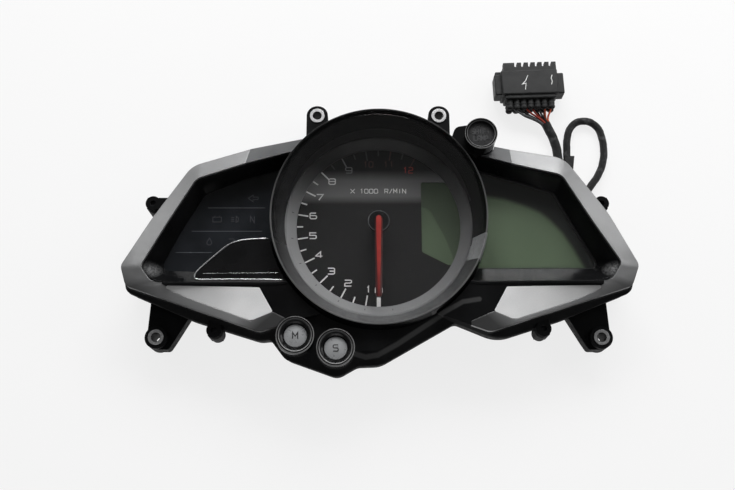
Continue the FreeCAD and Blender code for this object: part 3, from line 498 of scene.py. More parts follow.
@dataclass(frozen=True)
class RingPaint(Finish):
    """The chapter ring's silver with painted light and shade: lighter towards the lower left, darker
    towards the upper right, and black towards the top of the dial.
    """

    name: str = "ring_silver_fade"
    fade: Span = (0.0, 34.0)
    slant: Span = (-48.0, 68.0)
    grain: Cloud = (0.35, 2.0)
    # painted shade and painted light: the silver's two tones across the ring
    shaded: Colour = (0.066, 0.066, 0.067)
    lit: Colour = (0.215, 0.217, 0.22)
    dust: Colour = (0.30, 0.30, 0.30)
    # painted shade: the black towards the top
    black: Colour = (0.0085, 0.0085, 0.0085)

    def material(self) -> Material:
        """Builds the material.

        Returns:
            The material.
        """
        graph = Graph(self.name)
        across, up, _ = graph.parts(graph.place)
        along = graph.number("ADD", graph.product(across, -1), graph.product(up, -1))
        # Painted light and shade: the silver lighter towards the lower left and darker towards the upper
        # right.
        silver = graph.mix(graph.over(along, self.slant), self.shaded, self.lit)
        grain = graph.spread(graph.noise(*self.grain), 0, 1)
        dusty = graph.mix(graph.product(grain, 0.16), silver, self.dust)
        # Painted shade: the ring turns black towards the top.
        colour = graph.mix(graph.over(up, self.fade), dusty, self.black)
        return graph.coated(
            Base_Color=colour, Roughness=0.36, Metallic=0.3, IOR=1.3, Normal=graph.relief(grain, 0.01)
        )


@dataclass(frozen=True)
class HoodPlastic(Finish):
    """The hood's gloss black, with painted light: a grey sheen, rougher, round the top of its funnel; a
    streaked reflection, rougher, low on its inner wall; and a highlight along its rim, strongest low down.
    """

    name: str = "hood_gloss_black"
    mouth: float = 53.9
    rim: Span = (42.5, 42.8)
    rim_slope: float = 0.139
    rim_fade: Span = (0.0, 30.0)
    step: float = 27.2
    step_slope: float = 0.142
    step_start: float = 12.0
    low: Span = (-50.0, -6.0)
    streaks: Cloud = (2.6, 4.0)
    dark: Colour = (0.0022, 0.0023, 0.0025)
    light: Colour = (0.0036, 0.0037, 0.004)
    # painted reflection, streaked, on the low inner wall
    dust: Colour = (0.085, 0.086, 0.087)
    # painted grey sheen round the top of the funnel
    satin: Colour = (0.0085, 0.0085, 0.0085)
    # painted highlight along the rim
    worn: Colour = (0.12, 0.12, 0.12)

    def above(self, graph: Graph, slope: float) -> Socket:
        """The level above a plane through the dial's axis that leans back by a slope."""
        _, up, level = graph.parts(graph.place)
        return graph.number("SUBTRACT", level, graph.product(up, slope))

    def material(self) -> Material:
        """Builds the material.

        Returns:
            The material.
        """
        graph = Graph(self.name)
        up = graph.parts(graph.place)[1]
        inside = graph.number("LESS_THAN", graph.from_axis(), self.mouth * MM)
        under_step = graph.number("LESS_THAN", self.above(graph, self.step_slope), self.step * MM)
        upper = graph.product(under_step, graph.number("GREATER_THAN", up, self.step_start * MM))
        edge = graph.over(self.above(graph, self.rim_slope), self.rim)
        streaks = graph.spread(graph.noise(*self.streaks), 0.45, 1)
        # Painted reflection: the inner wall lighter towards the bottom, in streaks.
        dust = graph.product(graph.product(graph.over(up, self.low, 1, 0), inside), streaks)
        black = graph.mix(graph.noise(*CLOUDS), self.dark, self.light)
        colour = graph.mix(dust, black, self.dust)
        # Painted sheen round the top of the funnel.
        colour = graph.mix(graph.product(upper, inside), colour, self.satin)
        # Painted highlight along the rim, strongest low down.
        colour = graph.mix(graph.product(edge, graph.over(up, self.rim_fade, 1, 0.1)), colour, self.worn)
        dull = graph.number("MAXIMUM", dust, graph.product(upper, 0.8))
        rough = graph.spread(dull, 0.24, 0.42, 0, 0.5)
        normal = graph.grained(Weave.POLISHED, 0.3)
        return graph.coated(Base_Color=colour, Roughness=rough, IOR=1.3, Normal=normal)


@dataclass(frozen=True)
class RimmedPlastic(Finish):
    """Gloss black with painted highlights: thin lighter rims round one upright axis, on its top and
    brightest on the low side.
    """

    axis: Flat
    radii: tuple[float, ...]
    above: float
    width: float = 0.22
    dark: Colour = (0.0045, 0.0046, 0.005)
    light: Colour = (0.0065, 0.0067, 0.007)
    # painted highlight on the rims
    worn: Colour = (0.30, 0.30, 0.30)

    def material(self) -> Material:
        """Builds the material.

        Returns:
            The material.
        """
        graph = Graph(self.name)
        _, up, level = graph.parts(graph.place)
        radius = graph.from_axis(self.axis)
        top = graph.number("GREATER_THAN", level, self.above * MM)
        from_middle = graph.number("SUBTRACT", up, self.axis[1] * MM)
        low = graph.over(from_middle, (-self.radii[0], self.radii[0]), 1, 0.25)
        # Painted highlights show on the top, brightest on the low side.
        highlight_mask = graph.product(top, low)
        colour = graph.mix(graph.noise(*CLOUDS), self.dark, self.light)
        for rim in self.radii:
            away = graph.number("ABSOLUTE", graph.number("SUBTRACT", radius, rim * MM))
            line = graph.over(away, (self.width * 0.4, self.width), 1, 0)
            colour = graph.mix(graph.product(highlight_mask, line), colour, self.worn)
        normal = graph.grained(Weave.POLISHED, 0.3)
        return graph.coated(Base_Color=colour, Roughness=0.16, IOR=1.36, Normal=normal)


@dataclass(frozen=True)
class CoverPlastic(Finish):
    """The front cover's gloss black, with a painted highlight along a crease near its lower edge, and
    duller sides.
    """

    name: str = "cover_gloss_black"
    crease: tuple[Flat, ...] = (
        (-12.8, -67.7), (-6.7, -69.2), (-0.6, -68.3), (9.3, -62.8), (24.8, -52.7), (32.5, -47.6),
        (41.9, -42.6), (50.0, -41.4),
    )
    crease_edge: Span = (0.75, 1.5)
    dark: Colour = (0.0050, 0.0051, 0.0054)
    light: Colour = (0.0094, 0.0097, 0.0102)
    # painted highlight along the crease
    satin: Colour = (0.060, 0.0602, 0.0605)
    roughness: Span = (0.144, 0.225)
    side_roughness: float = 0.9
    side_tilt: Span = (0.3, 0.6)

    def away(self, graph: Graph) -> Socket:
        """The distance from the crease, seen from above.

        Args:
            graph: the material's nodes.

        Returns:
            The distance, in metres.
        """
        flat = graph.vector("MULTIPLY", graph.place, (1, 1, 0))
        nearest = None
        for (x, y), (next_x, next_y) in zip(self.crease, self.crease[1:]):
            way = Vector(((next_x - x) * MM, (next_y - y) * MM, 0))
            moved = graph.vector("SUBTRACT", flat, (x * MM, y * MM, 0))
            share = graph.vector("DOT_PRODUCT", moved, way / way.length_squared, "Value")
            held = graph.spread(share, 0, 1, 0, 1)
            inputs = {0: tuple(way), "Scale": held}
            foot = graph.add("ShaderNodeVectorMath", inputs, operation="SCALE").outputs[0]
            gap = graph.vector("DISTANCE", moved, foot, "Value")
            nearest = gap if nearest is None else graph.number("MINIMUM", nearest, gap)
        return nearest

    def material(self) -> Material:
        """Builds the material.

        Returns:
            The material.
        """
        graph = Graph(self.name)
        base = graph.mix(graph.spread(graph.noise(*CLOUDS), 0, 1), self.dark, self.light)
        # Painted highlight: lighter near the crease.
        colour = graph.mix(graph.over(self.away(graph), self.crease_edge, 1, 0), base, self.satin)
        upright = graph.parts(graph.add("ShaderNodeNewGeometry").outputs["Normal"])[2]
        sides = graph.spread(upright, self.side_roughness, 0, *self.side_tilt)
        rough = graph.number("ADD", graph.spread(graph.noise(*WEAR), *self.roughness), sides)
        normal = graph.grained(Weave.POLISHED, 0.45)
        return graph.coated(Base_Color=colour, Roughness=rough, Normal=normal, IOR=1.22)


@dataclass(frozen=True)
class WindowPlastic(Finish):
    """The window surrounds' gloss black, with a pale, grainy painted reflection in each window's outer
    corner.
    """

    name: str = "window_gloss_black"
    middle: float = 1.6
    corner: Flat = (116.6, -25.7)
    reach: Span = (0.6, 5.0)
    grain: Cloud = (1.1, 3.0)
    dark: Colour = (0.0046, 0.0048, 0.0051)
    light: Colour = (0.0090, 0.0092, 0.0097)
    # painted reflection in the outer corner
    dust: Colour = (0.23, 0.232, 0.234)
    roughness: Span = (0.112, 0.175)

    def material(self) -> Material:
        """Builds the material.

        Returns:
            The material.
        """
        graph = Graph(self.name)
        across, up, _ = graph.parts(graph.place)
        aside = graph.number("ABSOLUTE", graph.number("SUBTRACT", across, self.middle * MM))
        outward = graph.number("SUBTRACT", aside, self.corner[0] * MM)
        upward = graph.number("SUBTRACT", up, self.corner[1] * MM)
        square = graph.number("ADD", graph.product(outward, outward), graph.product(upward, upward))
        near = graph.over(graph.number("SQRT", square), self.reach, 1, 0)
        grain = graph.spread(graph.noise(*self.grain), 0.15, 1)
        base = graph.mix(graph.spread(graph.noise(*CLOUDS), 0, 1), self.dark, self.light)
        # Painted reflection: a pale, grainy patch in the outer corner.
        colour = graph.mix(graph.product(near, grain), base, self.dust)
        rough = graph.spread(graph.noise(*WEAR), *self.roughness)
        normal = graph.grained(Weave.POLISHED, 0.45)
        return graph.coated(Base_Color=colour, Roughness=rough, Normal=normal, IOR=1.2)


@dataclass(frozen=True)
class BoredSteel(Finish):
    """A steel sleeve whose threaded bore is painted dark as painted shade, at two places mirrored about the
    middle.
    """

    place: Flat
    tones: Span
    metallic: float
    bore: float = 2.45
    wear: Cloud = (0.8, 4.0)
    # painted shade inside the bore
    thread: Colour = (0.012, 0.012, 0.012)
    roughness: float = 0.26

    def material(self) -> Material:
        """Builds the material.

        Returns:
            The material.
        """
        graph = Graph(self.name)
        folded = graph.vector("ABSOLUTE", graph.place)
        inside = graph.number("LESS_THAN", graph.from_axis(self.place, folded), self.bore * MM)
        worn = graph.spread(graph.noise(*self.wear), 0, 1)
        steel = graph.mix(worn, *((tone, tone, tone * 1.01) for tone in self.tones))
        return graph.coated(
            # Painted shade: the bore near black.
            Base_Color=graph.mix(inside, steel, self.thread),
            Roughness=graph.number("ADD", graph.product(inside, 0.3), self.roughness),
            Metallic=graph.product(graph.number("SUBTRACT", 1, inside), self.metallic),
            IOR=1.2, Normal=graph.relief(worn, 0.02, 0.3),
        )


@dataclass(frozen=True)
class LiquidCrystal(Finish):
    """A blank liquid crystal behind its polariser; the shade attribute darkens it with a painted shadow."""

    name: str = "liquid_crystal"
    shaded: bool = False
    patches: Cloud = (30.0, 2.0)
    grain: Cloud = (0.3, 1.0)
    dark: Colour = (0.053, 0.079, 0.044)
    light: Colour = (0.061, 0.088, 0.051)
    speck: Colour = (0.07, 0.097, 0.058)
    # painted shadow colour
    border: Colour = (0.0075, 0.0085, 0.0075)

    def material(self) -> Material:
        """Builds the material.

        Returns:
            The material.
        """
        graph = Graph(self.name)
        grain = graph.noise(*self.grain)
        base = graph.mix(graph.spread(graph.noise(*self.patches), 0, 1), self.dark, self.light)
        colour = graph.mix(graph.spread(grain, 0, 0.3), base, self.speck)
        if self.shaded:
            # Painted shadow, where the shade attribute is set.
            shade_mark = graph.add("ShaderNodeAttribute", attribute_name="shade").outputs["Fac"]
            colour = graph.mix(shade_mark, colour, self.border)
        normal = graph.relief(grain, 0.004)
        return graph.coated(Base_Color=colour, Roughness=0.45, IOR=1.3, Normal=normal)


@dataclass(frozen=True)
class CapPlastic(Finish):
    """The needle's black cap with the thin grey line round its edge."""

    name: str = "needle_cap_black"
    line: float = 5.35
    width: float = 0.16
    black: Colour = (0.0025, 0.0025, 0.0028)
    grey: Colour = (0.07, 0.072, 0.075)

    def material(self) -> Material:
        """Builds the material.

        Returns:
            The material.
        """
        graph = Graph(self.name)
        away = graph.number("ABSOLUTE", graph.number("SUBTRACT", graph.from_axis(), self.line * MM))
        colour = graph.mix(graph.number("LESS_THAN", away, self.width * MM), self.black, self.grey)
        rough = graph.spread(graph.noise(1.5, 3), 0.45, 0.6)
        normal = graph.relief(graph.noise(0.5), 0.004, 0.3)
        return graph.coated(Base_Color=colour, Roughness=rough, IOR=1.15, Normal=normal)


@dataclass(frozen=True)
class ClothTape(Finish):
    """Woven harness tape, whose wrap map runs round the loom and along it in millimetres."""

    name: str = "cloth_tape"
    thread: float = 0.45
    wander: float = 0.6
    dirt: Cloud = (5.0, 4.0)
    dark: Colour = (0.004, 0.004, 0.0042)
    light: Colour = (0.018, 0.018, 0.019)
    dust: Colour = (0.11, 0.11, 0.112)

    def bands(self) -> float:
        """The wave texture's scale for one thread."""
        return math.pi / 10 / self.thread

    def material(self) -> Material:
        """Builds the material.

        Returns:
            The material.
        """
        graph = Graph(self.name)
        wrap = graph.add("ShaderNodeUVMap", uv_map="wrap").outputs["UV"]
        inputs = {"Vector": wrap, "Scale": self.bands(), "Distortion": self.wander}
        across, along = (
            graph.add("ShaderNodeTexWave", inputs, bands_direction=way).outputs["Fac"] for way in "XY"
        )
        weave = graph.product(across, along)
        dirt = graph.noise(*self.dirt)
        colour = graph.mix(graph.spread(weave, 0, 1, 0, 0.8), self.dark, self.light)
        colour = graph.mix(graph.spread(dirt, 0, 0.7, 0.55, 0.72), colour, self.dust)
        return graph.coated(
            Base_Color=colour, Roughness=graph.spread(dirt, 0.42, 0.62), IOR=1.35,
            Normal=graph.relief(weave, 0.16), Sheen_Weight=0.05,
        )


@dataclass(frozen=True)
class NeedleRed(Finish):
    """Red needle plastic, lighter along the ridge that the rim attribute leaves at 0, with painted shade
    that makes its sloping sides far darker.
    """

    name: str = "needle_red_plastic"
    dark: Colour = (0.21, 0.013, 0.010)
    light: Colour = (0.26, 0.018, 0.013)
    tip: Colour = (0.06, 0.004, 0.004)
    # painted shade on the sloping sides
    side: Colour = (0.03, 0.0015, 0.0015)
    tip_span: Span = (-38.0, -20.0)
    glow: Colour = (0.8, 0.03, 0.02)
    glow_level: float = 0.004

    def material(self) -> Material:
        """Builds the material.

        Returns:
            The material.
        """
        graph = Graph(self.name)
        rim = graph.add("ShaderNodeAttribute", attribute_name="rim").outputs["Fac"]
        ridge = graph.mix(graph.spread(graph.noise(4, 2), 0, 1), self.dark, self.light)
        along = graph.parts(graph.place)[1]
        ridge = graph.mix(graph.over(along, self.tip_span, 0.9, 0), ridge, self.tip)
        return graph.coated(
            # Painted shade on the sides, where the rim attribute is set.
            Base_Color=graph.mix(graph.spread(rim, 0, 1, 0.1, 0.5), ridge, self.side), Roughness=0.32,
            Normal=graph.relief(graph.noise(0.6), 0.004),
            Emission_Color=(*self.glow, 1), Emission_Strength=self.glow_level,
        )


@dataclass(frozen=True)
class LampLens(Finish):
    """The smoked lens over the shift lamp."""

    name: str = "smoked_lens"
    dark: Colour = (0.006, 0.006, 0.007)
    light: Colour = (0.013, 0.0135, 0.0145)

    def material(self) -> Material:
        """Builds the material.

        Returns:
            The material.
        """
        graph = Graph(self.name)
        return graph.coated(
            Base_Color=graph.mix(graph.spread(graph.noise(3, 3), 0, 1), self.dark, self.light),
            Roughness=graph.spread(graph.noise(1.2, 3), 0.25, 0.4),
            Normal=graph.relief(graph.noise(1.0), 0.01), Coat_Weight=0.6, Coat_Roughness=0.08,
        )


@dataclass(frozen=True)
class BoardGreen(Finish):
    """Solder resist over copper tracks."""

    name: str = "solder_resist"
    pitch: float = 5.0
    track: float = 0.03
    dark: Colour = (0.012, 0.085, 0.032)
    light: Colour = (0.016, 0.11, 0.042)
    raised: Colour = (0.03, 0.17, 0.06)

    def material(self) -> Material:
        """Builds the material.

        Returns:
            The material.
        """
        graph = Graph(self.name)
        grid = {"Vector": graph.place, "Scale": 1 / (self.pitch * MM), "Mortar Size": self.track}
        tracks = graph.add("ShaderNodeTexBrick", grid).outputs["Fac"]
        base = graph.mix(graph.spread(graph.noise(12, 2), 0, 1), self.dark, self.light)
        colour = graph.mix(tracks, base, self.raised)
        return graph.coated(Base_Color=colour, Roughness=0.35, Normal=graph.relief(tracks, 0.03))


def printed(name: str, colour: Colour, roughness: float = 0.5) -> Moulding:
    """A printed ink, without rounded edges."""
    return Moulding(name, colour, roughness, edge=0.0)


# Painted highlights on the rims of the button collars and of the shift lamp's housing.
MODE_COLLAR = RimmedPlastic("mode_collar_black", MODE_PLACE, (8.1, 9.3), 32.3, 0.36)
SET_COLLAR = RimmedPlastic("set_collar_black", SET_PLACE, (8.1, 9.3), 32.3, 0.36)
LAMP_BLACK = RimmedPlastic("lamp_gloss_black", LAMP_PLACE, (8.2, 7.1), 44.6)
GLOSS_BLACK = Moulding("gloss_black_moulding", (0.0058, 0.0060, 0.0064), 0.14, Weave.POLISHED, 0.45, 1.34)
HOUSING_BLACK = Moulding("housing_black_moulding", (0.0062, 0.0064, 0.0068), 0.55, Weave.ETCHED, 0.5, 1.14)
INNER_BLACK = Moulding("inner_black_moulding", (0.018, 0.018, 0.019), 0.5)
PLUG_GREY = Moulding("plug_grey_moulding", (0.030, 0.0305, 0.031), 0.5, Weave.ETCHED, 0.3, 1.3)
RUBBER = Moulding("black_rubber", (0.014, 0.014, 0.014), 0.72, Weave.ETCHED, 0.3)
WHITE_PLASTIC = Moulding("white_moulding", (0.72, 0.72, 0.70), 0.45)
ACRYLIC = Moulding("frosted_acrylic", (0.78, 0.80, 0.80), 0.2)
CHIP_BLACK = Moulding("chip_epoxy", (0.02, 0.02, 0.021), 0.55)
LED_YELLOW = Moulding("light_chip", (0.80, 0.72, 0.30), 0.35)
PANEL_BLUE = Moulding("panel_smoke_blue", (0.0185, 0.0208, 0.0250), 0.6, edge=0.0, index=1.05)
# Painted shade: the trims darken along their lower bands, towards their inner lower ends and towards their
# tips; the inserts darken towards their outer ends.
SATIN_SILVER = FadedPaint(
    "satin_silver_paint", (0.29, 0.292, 0.295), 0.38, 0.35, edge=0.8,
    fades=(
        Fade(0.443, -1.0, (83.5, 90.0), 0.6),
        Fade(-1.0, -1.2, (-10.0, 6.0), 0.22),
        Fade(1.0, -0.5, (129.0, 143.0), 0.62),
    ),
)
BRIGHT_SILVER = FadedPaint(
    "bright_silver_paint", (0.94, 0.945, 0.95), 0.42, 0.0, 0.001,
    fades=(Fade(1.0, 0.6, (44.0, 90.0), 0.55),),
)
DARK_SILVER = Paint("dark_silver_paint", (0.085, 0.087, 0.09), 0.36, 0.3)
# Painted highlight: the silver of the deck's beads.
HIGHLIGHT_SILVER = Paint("bead_silver", (0.80, 0.81, 0.82), 0.18, 0.8)
BUTTON_SILVER = Paint("button_silver_paint", (0.50, 0.51, 0.52), 0.3, 0.4)
STEEL = Metal("zinc_steel", (0.66, 0.67, 0.68), 0.26)
# Painted light: the upper sleeves are painted lighter and less metallic than the lower ones, for how the
# light falls on them.
UPPER_SLEEVE = BoredSteel("upper_sleeve_steel", (33.2, 65.0), (0.55, 0.92), 0.35)
LOWER_SLEEVE = BoredSteel("lower_sleeve_steel", (114.0, 57.5), (0.34, 0.60), 0.7)
BLACK_ZINC = Metal("black_zinc", (0.035, 0.035, 0.037), 0.42)
BRASS = Metal("tinned_brass", (0.72, 0.60, 0.34), 0.28)
CAN_METAL = Metal("can_aluminium", (0.70, 0.71, 0.72), 0.3)
DUSTY_TAPE = Film("dusty_clear_tape", (0.30, 0.305, 0.31), 0.62)
PRINT_WHITE = printed("printed_white", (0.52, 0.52, 0.515))
# Painted shade: dimmer inks for the dial's marks above eight and its numbers nine to eleven, in the hood's
# shadow.
PRINT_HALF_SHADE = printed("printed_grey", (0.11, 0.112, 0.115))
PRINT_SHADE = printed("printed_dim", (0.026, 0.026, 0.027))
PRINT_RED_SHADE = printed("printed_dim_red", (0.034, 0.011, 0.010))
PRINT_RED = printed("printed_red", (0.22, 0.022, 0.018))
PRINT_DARK = printed("printed_dark", (0.035, 0.035, 0.037))
PRINT_ICON = printed("printed_icon", (0.019, 0.022, 0.028), 0.45)
PRINT_LINE = printed("printed_line", (0.055, 0.061, 0.070), 0.4)
LAMP_PRINT = printed("lamp_print", (0.045, 0.046, 0.048))
PAINT_PEN = Moulding("paint_pen_white", (0.72, 0.73, 0.72), 0.6, Weave.ETCHED, 0.0)
WIRE_GREY = Moulding("wire_grey", (0.10, 0.10, 0.105), 0.42)
WIRE_BLACK = Moulding("wire_black", (0.013, 0.013, 0.014), 0.4)
WIRE_RED = Moulding("wire_dark_red", (0.36, 0.045, 0.028), 0.42)
WIRE_ORANGE = Moulding("wire_orange_red", (0.85, 0.16, 0.07), 0.42)


# Meshes
class Shape:
    """Gathers the faces of one closed mesh, in millimetres."""

    def __init__(self) -> None:
        """Starts with nothing."""
        self.points: list[Point] = []
        self.faces: list[tuple[int, ...]] = []
        self.marks: list[float] = []

    def row(self, points: Iterable[Sequence[float]], marks: Sequence[float] = ()) -> list[int]:
        """Adds points.

        Args:
            points: the points, in order.
            marks: each point's mark, or nothing where all are 0.

        Returns:
            The points' numbers.
        """
        start = len(self.points)
        self.points += [tuple(p) for p in points]
        count = len(self.points) - start
        self.marks += list(marks) or [0.0] * count
        return list(range(start, start + count))

    def skin(self, rows: Sequence[Sequence[int]], around: bool = True) -> None:
        """Joins neighbouring rows with four-sided faces.

        Args:
            rows: rows of point numbers, all as long as each other.
            around: whether each row closes on itself.
        """
        for low, high in zip(rows, rows[1:]):
            count = len(low)
            for i in range(count if around else count - 1):
                j = (i + 1) % count
                self.faces.append((low[i], low[j], high[j], high[i]))

    def cap(self, rows: Sequence[Sequence[int]], turned: bool = False) -> None:
        """Closes the two ends of a skin.

        Args:
            rows: the skin's rows.
            turned: whether its first row already points outward.
        """
        first, last = tuple(rows[0]), tuple(rows[-1])
        self.faces += [first, last[::-1]] if turned else [first[::-1], last]

    def plate(self, outline: Sequence[Flat], low: float, high: float) -> None:
        """A flat plate over a simple outline.

        Args:
            outline: its corners.
            low: its bottom level.
            high: its top level.
        """
        rows = [self.row((x, y, level) for x, y in outline) for level in (low, high)]
        self.skin(rows)
        self.cap(rows)

    def stroke(self, path: Sequence[Flat], width: float, low: float, high: float) -> None:
        """A line of constant width with mitred corners.

        Args:
            path: its corners; it closes where the last is the first.
            width: its width.
            low: its bottom level.
            high: its top level.
        """
        closed = path[0] == path[-1]
        places = [Vector(p) for p in (path[:-1] if closed else path)]
        count = len(places)
        rows = []
        for i, place in enumerate(places):
            before = places[i - 1] if closed or i else None
            after = places[(i + 1) % count] if closed or i < count - 1 else None
            sides = [
                (b - a).normalized().orthogonal() * -1
                for a, b in ((before, place), (place, after)) if a is not None and b is not None
            ]
            across = sides[0] if len(sides) == 1 else (sides[0] + sides[1]) / (1 + sides[0].dot(sides[1]))
            left, right = place - across * width / 2, place + across * width / 2
            rows.append(self.row([(*left, low), (*right, low), (*right, high), (*left, high)]))
        self.skin(rows + rows[:1] if closed else rows)
        if not closed:
            self.cap(rows)

    def lathe(self, profile: Sequence[Flat], centre: Flat = (0.0, 0.0), count: int = 96) -> None:
        """Turns a closed profile of radius and level about a vertical axis.

        Args:
            profile: radius and level pairs.
            centre: where the axis stands.
            count: how many steps go round.
        """
        rows = []
        for i in range(count):
            angle = 2 * math.pi * i / count
            x, y = math.cos(angle), math.sin(angle)
            rows.append(self.row((centre[0] + r * x, centre[1] + r * y, level) for r, level in profile))
        self.skin(rows + rows[:1])

    def mesh(self, name: str, crease: float = 32.0, attribute: str = "") -> Mesh:
        """Makes the mesh in metres with merged doubles and faces outward.

        Args:
            name: the mesh's name.
            crease: the angle, in degrees, past which an edge stays sharp.
            attribute: the name under which the points' marks are kept.

        Returns:
            The mesh.
        """
        mesh = bpy.data.meshes.new(name)
        work = bmesh.new()
        layer = work.verts.layers.float.new(attribute) if attribute else None
        corners = []
        for place, mark in zip(self.points, self.marks):
            corner = work.verts.new([c * MM for c in place])
            if layer:
                corner[layer] = mark
            corners.append(corner)
        for face in self.faces:
            work.faces.new([corners[i] for i in face])
        bmesh.ops.remove_doubles(work, verts=work.verts, dist=1e-6)
        bmesh.ops.recalc_face_normals(work, faces=work.faces)
        shade(work, crease)
        work.to_mesh(mesh)
        work.free()
        return mesh


def shade(work: bmesh.types.BMesh, crease: float) -> None:
    """Shades a mesh smoothly and keeps its sharp edges.

    Args:
        work: the mesh.
        crease: the angle, in degrees, past which an edge stays sharp.
    """
    for face in work.faces:
        face.smooth = True
    for edge in work.edges:
        edge.smooth = len(edge.link_faces) == 2 and edge.calc_face_angle(math.pi) < math.radians(crease)


def rounded(profile: Sequence[Point], steps: int = 6) -> list[Flat]:
    """Rounds the corners of a closed profile.

    Args:
        profile: radius, level and the corner's own rounding.
        steps: how many pieces an arc has.

    Returns:
        The rounded profile.
    """
    done: list[Flat] = []
    for i, (x, y, radius) in enumerate(profile):
        if not radius:
            done.append((x, y))
            continue
        place = Vector((x, y))
        back = (Vector(profile[i - 1][:2]) - place).normalized()
        ahead = (Vector(profile[(i + 1) % len(profile)][:2]) - place).normalized()
        half = back.angle(ahead) / 2
        run = radius / math.tan(half)
        centre = place + (back + ahead).normalized() * (radius / math.sin(half))
        start, end = place + back * run - centre, place + ahead * run - centre
        sweep = math.pi - 2 * half
        for step in range(steps + 1):
            share = step / steps
            arc = start * math.sin((1 - share) * sweep) + end * math.sin(share * sweep)
            spot = centre + arc / math.sin(sweep)
            done.append((spot.x, spot.y))
    return done


def linked(name: str, data: bpy.types.ID) -> Thing:
    """A new object in the scene.

    Args:
        name: its name.
        data: what it is.

    Returns:
        The object.
    """
    thing = bpy.data.objects.new(name, data)
    bpy.context.scene.collection.objects.link(thing)
    return thing


@cache
def look(finish: Finish) -> Material:
    """The material of a finish, built the first time."""
    return finish.material()


def piece(
    name: str, mesh: Mesh, finish: Finish | None,
    stands_for: Sequence[str] = (), body: Body = Body.CLUSTER,
) -> Thing:
    """Puts a finished mesh in the scene on its body.

    Args:
        name: the piece's name.
        mesh: its mesh, in place.
        finish: its finish, or None where the mesh has its own.
        stands_for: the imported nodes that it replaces.
        body: the body that it rides on.

    Returns:
        The new object.
    """
    if finish is not None:
        mesh.materials.clear()
        mesh.materials.append(look(finish))
    thing = linked(name, mesh)
    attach(thing, body.value)
    if stands_for:
        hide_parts(*stands_for)
    LOG.info("made %s, %d faces", name, len(mesh.polygons))
    return thing


# Geometry Nodes
class NodeTree(Wiring):
    """A Geometry Nodes tree with named inputs that ends in one material."""

    KINDS = {int: "NodeSocketInt", float: "NodeSocketFloat", Material: "NodeSocketMaterial"}

    def __init__(self, name: str, inputs: dict[str, Value]) -> None:
        """Args:
            name: the tree's name.
            inputs: each input's value, by its name.
        """
        super().__init__(bpy.data.node_groups.new(name, "GeometryNodeTree"))
        self.tree.interface.new_socket("Geometry", in_out="INPUT", socket_type="NodeSocketGeometry")
        self.values: dict[str, Value] = {}
        for label, value in inputs.items():
            kind = self.KINDS[type(value)]
            socket = self.tree.interface.new_socket(label, in_out="INPUT", socket_type=kind)
            self.values[socket.identifier] = value
        self.tree.interface.new_socket("Geometry", in_out="OUTPUT", socket_type="NodeSocketGeometry")
        self.entry = self.tree.nodes.new("NodeGroupInput").outputs

    def vector(self, x: Number, y: Number, z: Number) -> Socket:
        """A vector from three numbers."""
        return self.add("ShaderNodeCombineXYZ", {0: x, 1: y, 2: z}).outputs[0]

    def repeat(self, count: Number, place: Socket, shape: Socket, turn: Socket | Point) -> None:
        """Sets one shape on every point, makes them real and sets the material.

        Args:
            count: how many points there are.
            place: each point's place.
            shape: the shape.
            turn: each shape's turn.
        """
        points = self.add("GeometryNodePoints", {"Count": count, "Position": place}).outputs[0]
        inputs = {"Points": points, "Instance": shape, "Rotation": turn}
        copies = self.add("GeometryNodeInstanceOnPoints", inputs).outputs[0]
        real = self.add("GeometryNodeRealizeInstances", {"Geometry": copies}).outputs[0]
        inputs = {"Geometry": real, "Material": self.entry["Material"]}
        dressed = self.add("GeometryNodeSetMaterial", inputs).outputs[0]
        self.tree.links.new(dressed, self.tree.nodes.new("NodeGroupOutput").inputs[0])

    def bake(self, name: str) -> Mesh:
        """Evaluates the tree on an empty host.

        Args:
            name: the mesh's name.

        Returns:
            The plain mesh.
        """
        host = linked(name + "_host", bpy.data.meshes.new(name + "_host"))
        modifier = host.modifiers.new("build", "NODES")
        modifier.node_group = self.tree
        for identifier, value in self.values.items():
            modifier[identifier] = value
        graph = bpy.context.evaluated_depsgraph_get()
        mesh = bpy.data.meshes.new_from_object(host.evaluated_get(graph), depsgraph=graph)
        mesh.name = name
        host.modifiers.remove(modifier)
        bpy.data.objects.remove(host)
        return mesh


@dataclass
class RadialMarks:
    """Equal bars set round a centre, flat or leaning outward."""

    name: str
    count: int
    first: float
    step: float
    radius: float
    length: float
    width: float
    level: float
    thickness: float = 0.1
    lean: float = 0.0

    def mesh(self, finish: Finish) -> Mesh:
        """Builds the bars.

        Args:
            finish: their finish.

        Returns:
            The mesh of all the bars.
        """
        tree = NodeTree(self.name, {
            "Count": self.count,
            "First": math.radians(self.first),
            "Step": math.radians(self.step),
            "Radius": self.radius * MM,
            "Length": self.length * MM,
            "Width": self.width * MM,
            "Thickness": self.thickness * MM,
            "Level": self.level * MM,
            "Lean": math.radians(self.lean),
            "Material": look(finish),
        })
        entry = tree.entry
        index = tree.add("GeometryNodeInputIndex").outputs[0]
        angle = tree.number("ADD", entry["First"], tree.product(index, entry["Step"]))
        x = tree.product(entry["Radius"], tree.number("COSINE", angle))
        y = tree.product(entry["Radius"], tree.number("SINE", angle))
        size = tree.vector(entry["Length"], entry["Width"], entry["Thickness"])
        bar = tree.add("GeometryNodeMeshCube", {"Size": size}).outputs[0]
        turn = tree.vector(0.0, tree.product(entry["Lean"], -1.0), angle)
        tree.repeat(entry["Count"], tree.vector(x, y, entry["Level"]), bar, turn)
        return tree.bake(self.name)


